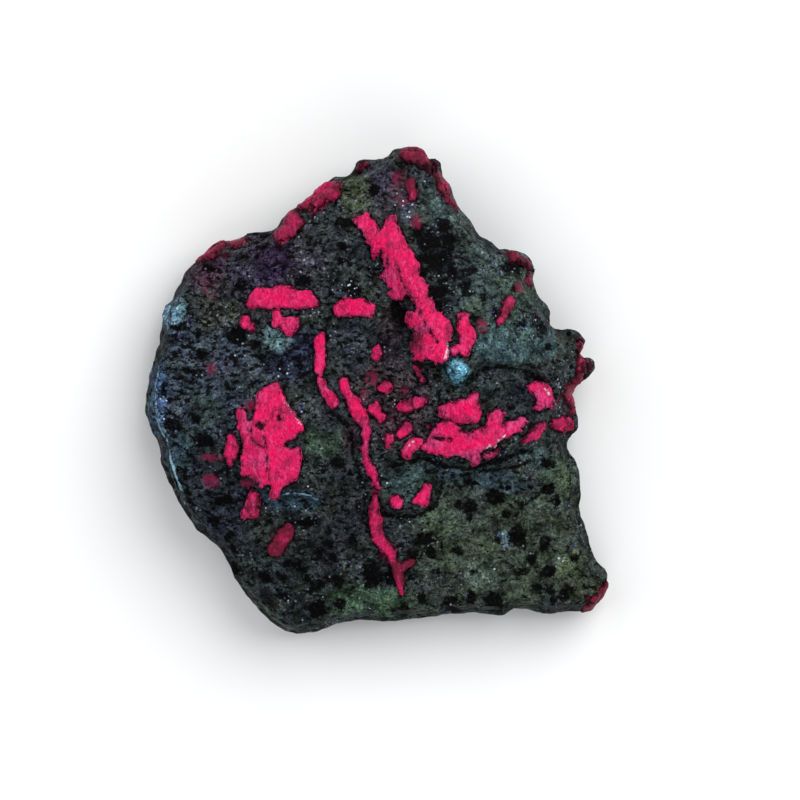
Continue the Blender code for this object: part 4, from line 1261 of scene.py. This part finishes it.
def zoisite_rock(finish):
    """Zoisite amphibolite, broken and lightly oiled: a dark green-grey mass of sugary grains with
    black amphibole in it, dull but for painted highlights where cleavage faces would catch the light."""
    material, tree, surface = new_material("zoisite amphibolite, broken")

    # Known by name: the values kept on the points, and noises of several sizes in millimetres.
    known = {name: add(tree, "Attribute", output="Fac", attribute_name=name)
             for name in ("specks", "amphibole", "crack_and_shadow", "edge", "ruby_dust_and_glow", "painted_sparkle")}
    place = add(tree, "TexCoord", output="Object")
    along = add(tree, "Mapping", {
        "Vector": place, "Rotation": (0.0, 0.0, 0.9), "Scale": (1.0, 1.7, 1.3)})
    for name, where, size, detail, rough in (
            ("cloud", place, 4.5, 5.0, 0.75), ("blotch", place, 1.7, 3.0, 0.7),
            ("sugar", place, 0.6, 4.0, 0.95), ("hue", place, 7.0, 3.0, 0.6),
            ("drift", place, 6.0, 3.0, 0.5), ("ragged", place, 1.3, 6.0, 0.85),
            ("fine", along, 1.5, 4.0, 0.65)):
        known[name] = add(tree, "TexNoise", {
            "Vector": where, "Scale": per_mm(size), "Detail": detail, "Roughness": rough})
    grains = add(
        tree, "TexVoronoi", {"Vector": place, "Scale": per_mm(finish.grain_size / MM)}, "Color")
    chance = add(tree, "SeparateColor", (grains,)).node.outputs
    wander = add(tree, "MapRange", (known["ragged"], 0.3, 0.7, -0.85, 0.85))
    rock = sugary_zoisite(tree, known, chance[0])

    # Pale flecks of crushed zoisite lie in drifts, and the amphibole's grains are not all as black.
    rarity = add(tree, "MapRange", (known["drift"], 0.4, 0.65, 1.02, 0.93))
    over = add(tree, "Math", (chance[1], rarity), operation="SUBTRACT")
    pale = add(tree, "MapRange", (over, 0.0, 0.08, 0.0, 0.9))
    dark = amphibole_cover(tree, known, wander)
    black = add(tree, "VectorMath", {0: finish.amphibole, "Scale": chance[2]}, operation="SCALE")
    layers = [(pale, (*finish.pale, 1.0)), (dark, black)]

    # A film or dust of ruby with a painted pink glow, cracks with painted shadows under the ledges
    # and at the crystals' feet, painted highlights along lit edges, and the painted highlights of
    # cleavage faces over all of them.
    patchy = add(tree, "Math", (wander, 1.3, 0.75), operation="MULTIPLY_ADD")
    shaky = add(tree, "Math", (wander, 0.35), operation="MULTIPLY")
    for name, way, pattern, colour, near, far, most in (
            ("ruby_dust_and_glow", "MULTIPLY", patchy, finish.ruby_dust_and_glow, 0.6, 0.15, 0.9),
            ("crack_and_shadow", "ADD", wander, finish.crack_and_shadow, 0.0, 0.4, 0.95),
            ("edge", "ADD", shaky, finish.worn, -0.05, 0.15, 0.8)):
        reach = add(tree, "Math", (pattern, known[name]), operation=way)
        layers.append((add(tree, "MapRange", (reach, near, far, most, 0.0)), (*colour, 1.0)))
    layers.append(painted_glints(tree, finish, place, known))
    for cover, colour in layers:
        rock = add(tree, "Mix", {FACTOR: cover, FIRST: rock, SECOND: colour}, MIXED,
                   data_type="RGBA")

    # Broken zoisite is dull and the amphibole in it shines a little.
    dull = add(tree, "MapRange", (dark, 0.0, 1.0, finish.roughness, 0.6 * finish.roughness))
    bump = add(tree, "Bump", {
        "Strength": 0.7, "Distance": 0.4 * MM, "Height": known["ragged"]})
    feed(surface, {
        "Base Color": rock, "Roughness": dull, "IOR": 1.70, "Specular IOR Level": 0.02,
        "Normal": bump})
    return material


def ruby_crystal(finish):
    """Ruby, rough and fluorescent: hot pink and nearly opaque, with a frosted, sugary surface and
    dark rock dust in its pits. It is given a painted glow: its colour is also given off as light,
    which makes it look lit from within."""
    material, tree, surface = new_material("ruby, rough")

    # Known by name: the values kept on the points, and noises of several sizes in millimetres.
    known = {name: add(tree, "Attribute", output="Fac", attribute_name=name)
             for name in ("glow", "frosted", "inner", "shine")}
    place = add(tree, "TexCoord", output="Object")
    along = add(tree, "Mapping", {"Vector": place, "Scale": (1.0, 0.55, 1.0)})
    for name, where, size, rough in (
            ("cloud", place, 3.0, 0.7), ("drift", place, 4.1, 0.5), ("bend", along, 2.3, 0.5),
            ("sugar", along, 0.9, 0.8), ("grit", along, 0.35, 0.8)):
        known[name] = add(tree, "TexNoise", {
            "Vector": where, "Scale": per_mm(size), "Detail": 4.0, "Roughness": rough})
    grains = add(
        tree, "TexVoronoi", {"Vector": place, "Scale": per_mm(finish.grain_size / MM)}, "Color")
    chance = add(tree, "SeparateColor", (grains,)).node.outputs[1]

    # It is clearest in its middle and darker towards its borders and creases, a painted shade as if
    # its tops rounded off there. Clouds make it clearer or more veiled, and so does its sugary grain,
    # which is drawn out lengthwise and shows more in some places than in others.
    least = add(tree, "MapRange", (known["drift"], 0.4, 0.6, -0.05, -0.65))
    most = add(tree, "MapRange", (known["drift"], 0.4, 0.6, 0.05, 0.3))
    clear = known["glow"]
    for name, *limits in (
            ("sugar", 0.36, 0.64, least, most), ("inner", 0.1, 1.1, -0.3, 0.05),
            ("cloud", 0.36, 0.64, -0.4, 0.2)):
        part = add(tree, "MapRange", (known[name], *limits))
        clear = add(tree, "Math", (clear, part), operation="ADD")
    ramp = add(tree, "ValToRGB", (clear,))
    stops = ramp.node.color_ramp.elements
    stops.new(0.5)
    for stop, position, tint in zip(
            stops, (0.05, 0.5, 0.95), (finish.veiled, finish.middling, finish.clear)):
        stop.position = position
        stop.color = (*tint, 1.0)
    shade = add(tree, "MapRange", (known["grit"], 0.35, 0.65, 0.7, 1.4))
    colour = add(tree, "VectorMath", {0: ramp, "Scale": shade}, operation="SCALE")

    # Crushed grains are paler and pinker; the same pale pink, laid more on the clearer crystals, is
    # also a painted sheen. Rock dust lies in the healed cracks, pits and creases, and along the borders;
    # in the creases and holes it is painted shade as well. A few edges get painted highlights.
    wander = add(tree, "MapRange", (known["sugar"], 0.37, 0.63, -0.5, 0.5))
    frost_and_sheen = wander
    for pattern, share in ((known["frosted"], 0.5), (chance, 0.35), (known["glow"], 0.5)):
        frost_and_sheen = add(tree, "Math", (pattern, share, frost_and_sheen), operation="MULTIPLY_ADD")
    across = add(tree, "Math", (known["bend"], 0.5), operation="SUBTRACT")
    healed = add(tree, "Math", (across,), operation="ABSOLUTE")
    pit = add(tree, "Math", (wander, 0.9, known["inner"]), operation="MULTIPLY_ADD")
    shaky = add(tree, "Math", (wander, 1.5, known["shine"]), operation="MULTIPLY_ADD")
    for pattern, low, high, tint, strength in (
            (frost_and_sheen, 0.7, 1.4, finish.frost_and_sheen, 0.75), (healed, 0.012, 0.002, finish.dust, 0.6),
            (pit, 0.14, 0.02, finish.dust, 0.97), (shaky, -0.1, -0.6, finish.shine, 0.85)):
        cover = add(tree, "MapRange", (pattern, low, high, 0.0, strength))
        colour = add(tree, "Mix", {FACTOR: cover, FIRST: colour, SECOND: (*tint, 1.0)}, MIXED,
                     data_type="RGBA")
    bump = add(tree, "Bump", {
        "Strength": 0.7, "Distance": 0.35 * MM, "Height": known["sugar"]})
    # The emission is a painted glow: the ruby's own colour is given off as light.
    feed(surface, {
        "Base Color": colour, "Emission Color": colour, "Emission Strength": finish.painted_glow,
        "Roughness": 0.45, "IOR": 1.77, "Specular IOR Level": 0.03, "Normal": bump})
    return material


def studio_floor(colour):
    """Matt white acrylic sheet: pale, even and without a reflection."""
    material, _, surface = new_material("acrylic sheet, matt white")
    feed(surface, {"Base Color": (*colour, 1.0), "Roughness": 0.9, "Specular IOR Level": 0.1})
    return material


# ---- Settings ----------------------------------------------------------------------------------

def colour_setting(name, description, colour):
    """A colour that the user can change, given as sRGB hex."""
    return FloatVectorProperty(
        name=name, description=description, default=linear(colour), size=3, subtype="COLOR",
        min=0.0, max=1.0)


class StoneRockSettings(PropertyGroup):
    grain_size: FloatProperty(
        name="Grain size", description="Typical size of the zoisite grains",
        default=0.42 * MM, min=0.1 * MM, unit="LENGTH", precision=5)
    base: colour_setting("Zoisite", "Colour of the zoisite between its washes", "#26292a")
    amphibole: colour_setting("Amphibole", "Colour of the black amphibole grains", "#050406")
    pale: colour_setting("Pale flecks", "Colour of the crushed flecks of zoisite", "#8490a0")
    # The glint colours are painted highlights: light caught by small cleavage faces.
    glint: colour_setting(
        "Glint", "Colour of the small cleavage faces that catch the light", "#e4ecff")
    blue_glint: colour_setting(
        "Blue glint", "Colour of the cleavage faces that flash blue", "#4b4bdc")
    # A painted highlight: the colour of the pale blue lines painted where light catches the rock's
    # edges.
    worn: colour_setting("Worn edge", "Colour of the worn, crushed edges of the rock", "#93bdd6")
    # Colour of the cracks, and also of the painted shadows under the ledges and at the crystals' feet.
    crack_and_shadow: colour_setting("Crack", "Colour in the cracks and along the crystals", "#030203")
    # Partly a painted glow: the pink of the crystals' light spilling onto the rock.
    ruby_dust_and_glow: colour_setting(
        "Ruby dust", "Colour of the rock where a film or dust of ruby is in it", "#7a1d40")
    roughness: FloatProperty(
        name="Roughness", description="Roughness of the broken zoisite",
        default=0.55, min=0.0, max=1.0, subtype="FACTOR")
    specks: FloatProperty(
        name="Specks", description="How thick the fine amphibole specks lie between the washes",
        default=0.6, min=0.0, max=1.0, subtype="FACTOR")
    oiled: FloatProperty(
        name="Oiled", description="How light the oiled zoisite is, as a share of its dry colours",
        default=0.42, min=0.1, max=1.0, subtype="FACTOR")


class StoneRubySettings(PropertyGroup):
    grain_size: FloatProperty(
        name="Grain size", description="Size of the sugary grains on the crystals",
        default=0.36 * MM, min=0.1 * MM, unit="LENGTH", precision=5)
    proud: FloatProperty(
        name="Proud", description="How far the crystals stand out, as a share of their own heights",
        default=1.0, min=0.2, max=1.5, subtype="FACTOR")
    wall: FloatProperty(
        name="Wall", description="Run of the crystals' rounded sides",
        default=0.3 * MM, min=0.1 * MM, unit="LENGTH", precision=5)
    clear: colour_setting("Clear ruby", "Colour of the clear crystals", "#cb0e4f")
    middling: colour_setting(
        "Middling ruby", "Colour of the crystals with some rock in them", "#9c1c49")
    veiled: colour_setting("Veiled ruby", "Colour of the crystals under a film of rock", "#5c1529")
    # Also a painted sheen: the pinker highlights laid on the clearer parts of the crystals.
    frost_and_sheen: colour_setting("Frost", "Colour of the crushed, frosted grains on the crystals", "#c24a80")
    # A painted highlight: the colour of the streaks painted on the crystals' edges.
    shine: colour_setting("Shine", "Colour of the edges that catch the light", "#e6cfe2")
    dust: colour_setting("Dust", "Colour of the rock dust in the crystals' pits", "#240914")
    # A painted glow: how strongly the crystals give off their own colour as light.
    painted_glow: FloatProperty(
        name="Fluorescence", description="How strongly the crystals shine of themselves",
        default=0.25, min=0.0, max=2.0)


class StoneStudioSettings(PropertyGroup):
    floor: colour_setting("Floor", "Colour of the floor", "#f4f4f4")
    key: FloatProperty(
        name="Key light", description="Strength of the main light, from the upper right",
        default=2.45, min=0.0)
    fill: FloatProperty(
        name="Fill light", description="Strength of each softer light around the stone",
        default=0.9, min=0.0)
    room: FloatProperty(
        name="Room light", description="Strength of the dim light from all around",
        default=0.2, min=0.0)
    lens: FloatProperty(
        name="Lens", description="Focal length of the camera, in millimetres",
        default=500.0, min=20.0, subtype="DISTANCE_CAMERA")


# ---- Operators ---------------------------------------------------------------------------------

class STONE_OT_rock(Operator):
    """Adds the zoisite rock, with a socket under each crystal"""
    bl_idname = "stone.rock"
    bl_label = "Zoisite Rock"

    def execute(self, context):
        finish = context.scene.stone_rock
        stone = skin()
        steep = 1 - ease(stone.normals[:, 2], 0.15, 0.5)
        wash, specks = wash_values(stone.points, steep, finish)
        # A dark line painted on the rock around each crystal's foot: painted shadow where the crystal
        # meets the rock.
        painted_foot_shadow = -stone.crystal / MM - SHADOW_SEAM / MM
        values = {
            "wash": wash,
            "specks": specks,
            "amphibole": grain_values(stone.points, steep),
            "crack_and_shadow": np.minimum(line_values(stone.points, steep, CRACKS_AND_LEDGE_SHADOWS), painted_foot_shadow),
            "edge": line_values(stone.points, steep, PAINTED_EDGE_LIGHTS),
            "ruby_dust_and_glow": patch_values(stone.points, steep, RUBY_DUST_AND_GLOW),
            "painted_sparkle": patch_values(stone.points, steep, PAINTED_SPARKLES),
        }
        rock = mesh_piece(
            "zoisite_rock", rock_points(stone), stone.triangles, zoisite_rock(finish), values)
        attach(rock, "root")
        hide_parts("stone")
        return {"FINISHED"}


class STONE_OT_rubies(Operator):
    """Adds the ruby crystals, closed bodies that sit in the rock's sockets"""
    bl_idname = "stone.rubies"
    bl_label = "Ruby Crystals"

    def execute(self, context):
        finish = context.scene.stone_ruby
        stone = skin()
        covered = (stone.crystal[stone.triangles] > -HIDDEN_BORDER).all(axis=1)
        places, faces, copies = closed_crust(
            crystal_points(stone, finish.proud, finish.wall), crust_points(stone),
            without_pinches(stone.triangles[covered]))
        dimmed, frosted = veil_values(stone.points)
        creased = along_paths(stone.points, CREASES) / MM
        values = {
            "glow": np.array([row[1] for row in CRYSTALS.values()])[stone.number] - dimmed,
            "frosted": frosted,
            "inner": np.minimum(stone.crystal / MM, creased + 0.2),
            # Where the painted highlights lie on the crystals' edges.
            "shine": along_paths(stone.points, PAINTED_RUBY_HIGHLIGHTS) / MM,
        }
        values = {label: value[copies] for label, value in values.items()}
        rubies = mesh_piece("ruby_crystals", places, faces, ruby_crystal(finish), values)
        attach(rubies, "root")
        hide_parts("stone")
        return {"FINISHED"}


class STONE_OT_stage(Operator):
    """Adds the pale floor, the soft lights and the camera that looks straight down"""
    bl_idname = "stone.stage"
    bl_label = "Pale Studio"

    def execute(self, context):
        studio = context.scene.stone_studio
        self.add_floor(studio)
        for name, strength, softness, toward in (
                ("key", studio.key, 55.0, (0.55, 0.6, 0.9)),
                ("fill left", studio.fill, 60.0, (-0.8, 0.3, 0.9)),
                ("fill low", studio.fill, 60.0, (0.2, -0.9, 1.0))):
            self.add_light(name, strength, softness, toward)
        world = bpy.data.worlds.new("studio room")
        world.use_nodes = True
        cool = (0.9, 0.95, 1.0, 1.0)
        feed(world.node_tree.nodes["Background"], {"Color": cool, "Strength": studio.room})
        context.scene.world = world
        context.scene.view_settings.view_transform = "Standard"
        self.add_camera(context, studio)
        return {"FINISHED"}

    def add_floor(self, studio):
        """A round floor far wider than any view of the stone."""
        radius, sides, gap = 6.0, 64, 0.02 * MM
        turn = np.linspace(0, 2 * np.pi, sides, endpoint=False)
        edge = np.column_stack((radius * np.cos(turn), radius * np.sin(turn), np.full(sides, -gap)))
        mesh = mesh_of("floor", edge, [list(range(sides))])
        mesh.materials.append(studio_floor(studio.floor))
        placed("floor", mesh)

    def add_light(self, name, strength, softness, toward):
        """A far light of a given softness, in degrees, that shines from a direction."""
        light = bpy.data.lights.new(name, "SUN")
        light.energy = strength
        light.angle = np.radians(softness)
        lamp = placed(name, light)
        lamp.rotation_mode = "QUATERNION"
        lamp.rotation_quaternion = Vector(toward).to_track_quat("Z", "Y")

    def add_camera(self, context, studio):
        """A long lens straight above the stone, so that its sides don't show."""
        sensor, image_squares, image_middle, level = 36.0, 800, (399.5, 399.5), 15 * MM
        x, y = metres(image_middle)
        camera = bpy.data.cameras.new("camera")
        camera.lens = studio.lens
        camera.sensor_width = sensor
        camera.clip_end = 20.0
        holder = placed("camera", camera)
        holder.location = (x, y, level + image_squares * SQUARE * studio.lens / sensor)
        context.scene.camera = holder


class STONE_PT_panel(Panel):
    """Lists the stone's pieces and their settings"""
    bl_idname = "STONE_PT_panel"
    bl_label = "Ruby in Zoisite"
    bl_space_type = "VIEW_3D"
    bl_region_type = "UI"
    bl_category = "Stone"

    def draw(self, context):
        for operator, settings in (
                (STONE_OT_rock, context.scene.stone_rock),
                (STONE_OT_rubies, context.scene.stone_ruby),
                (STONE_OT_stage, context.scene.stone_studio)):
            box = self.layout.box()
            box.operator(operator.bl_idname)
            for name in settings.__annotations__:
                box.prop(settings, name)


SETTINGS = {"stone_rock": StoneRockSettings, "stone_ruby": StoneRubySettings,
            "stone_studio": StoneStudioSettings}
CLASSES = (*SETTINGS.values(), STONE_OT_rock, STONE_OT_rubies, STONE_OT_stage, STONE_PT_panel)


def register():
    for made in CLASSES:
        bpy.utils.register_class(made)
    for name, group in SETTINGS.items():
        setattr(bpy.types.Scene, name, PointerProperty(type=group))


def unregister():
    for name in SETTINGS:
        delattr(bpy.types.Scene, name)
    for made in reversed(CLASSES):
        bpy.utils.unregister_class(made)


def main():
    register()
    bpy.ops.stone.rock()
    bpy.ops.stone.rubies()
    bpy.ops.stone.stage()


if __name__ == "__main__":
    main()
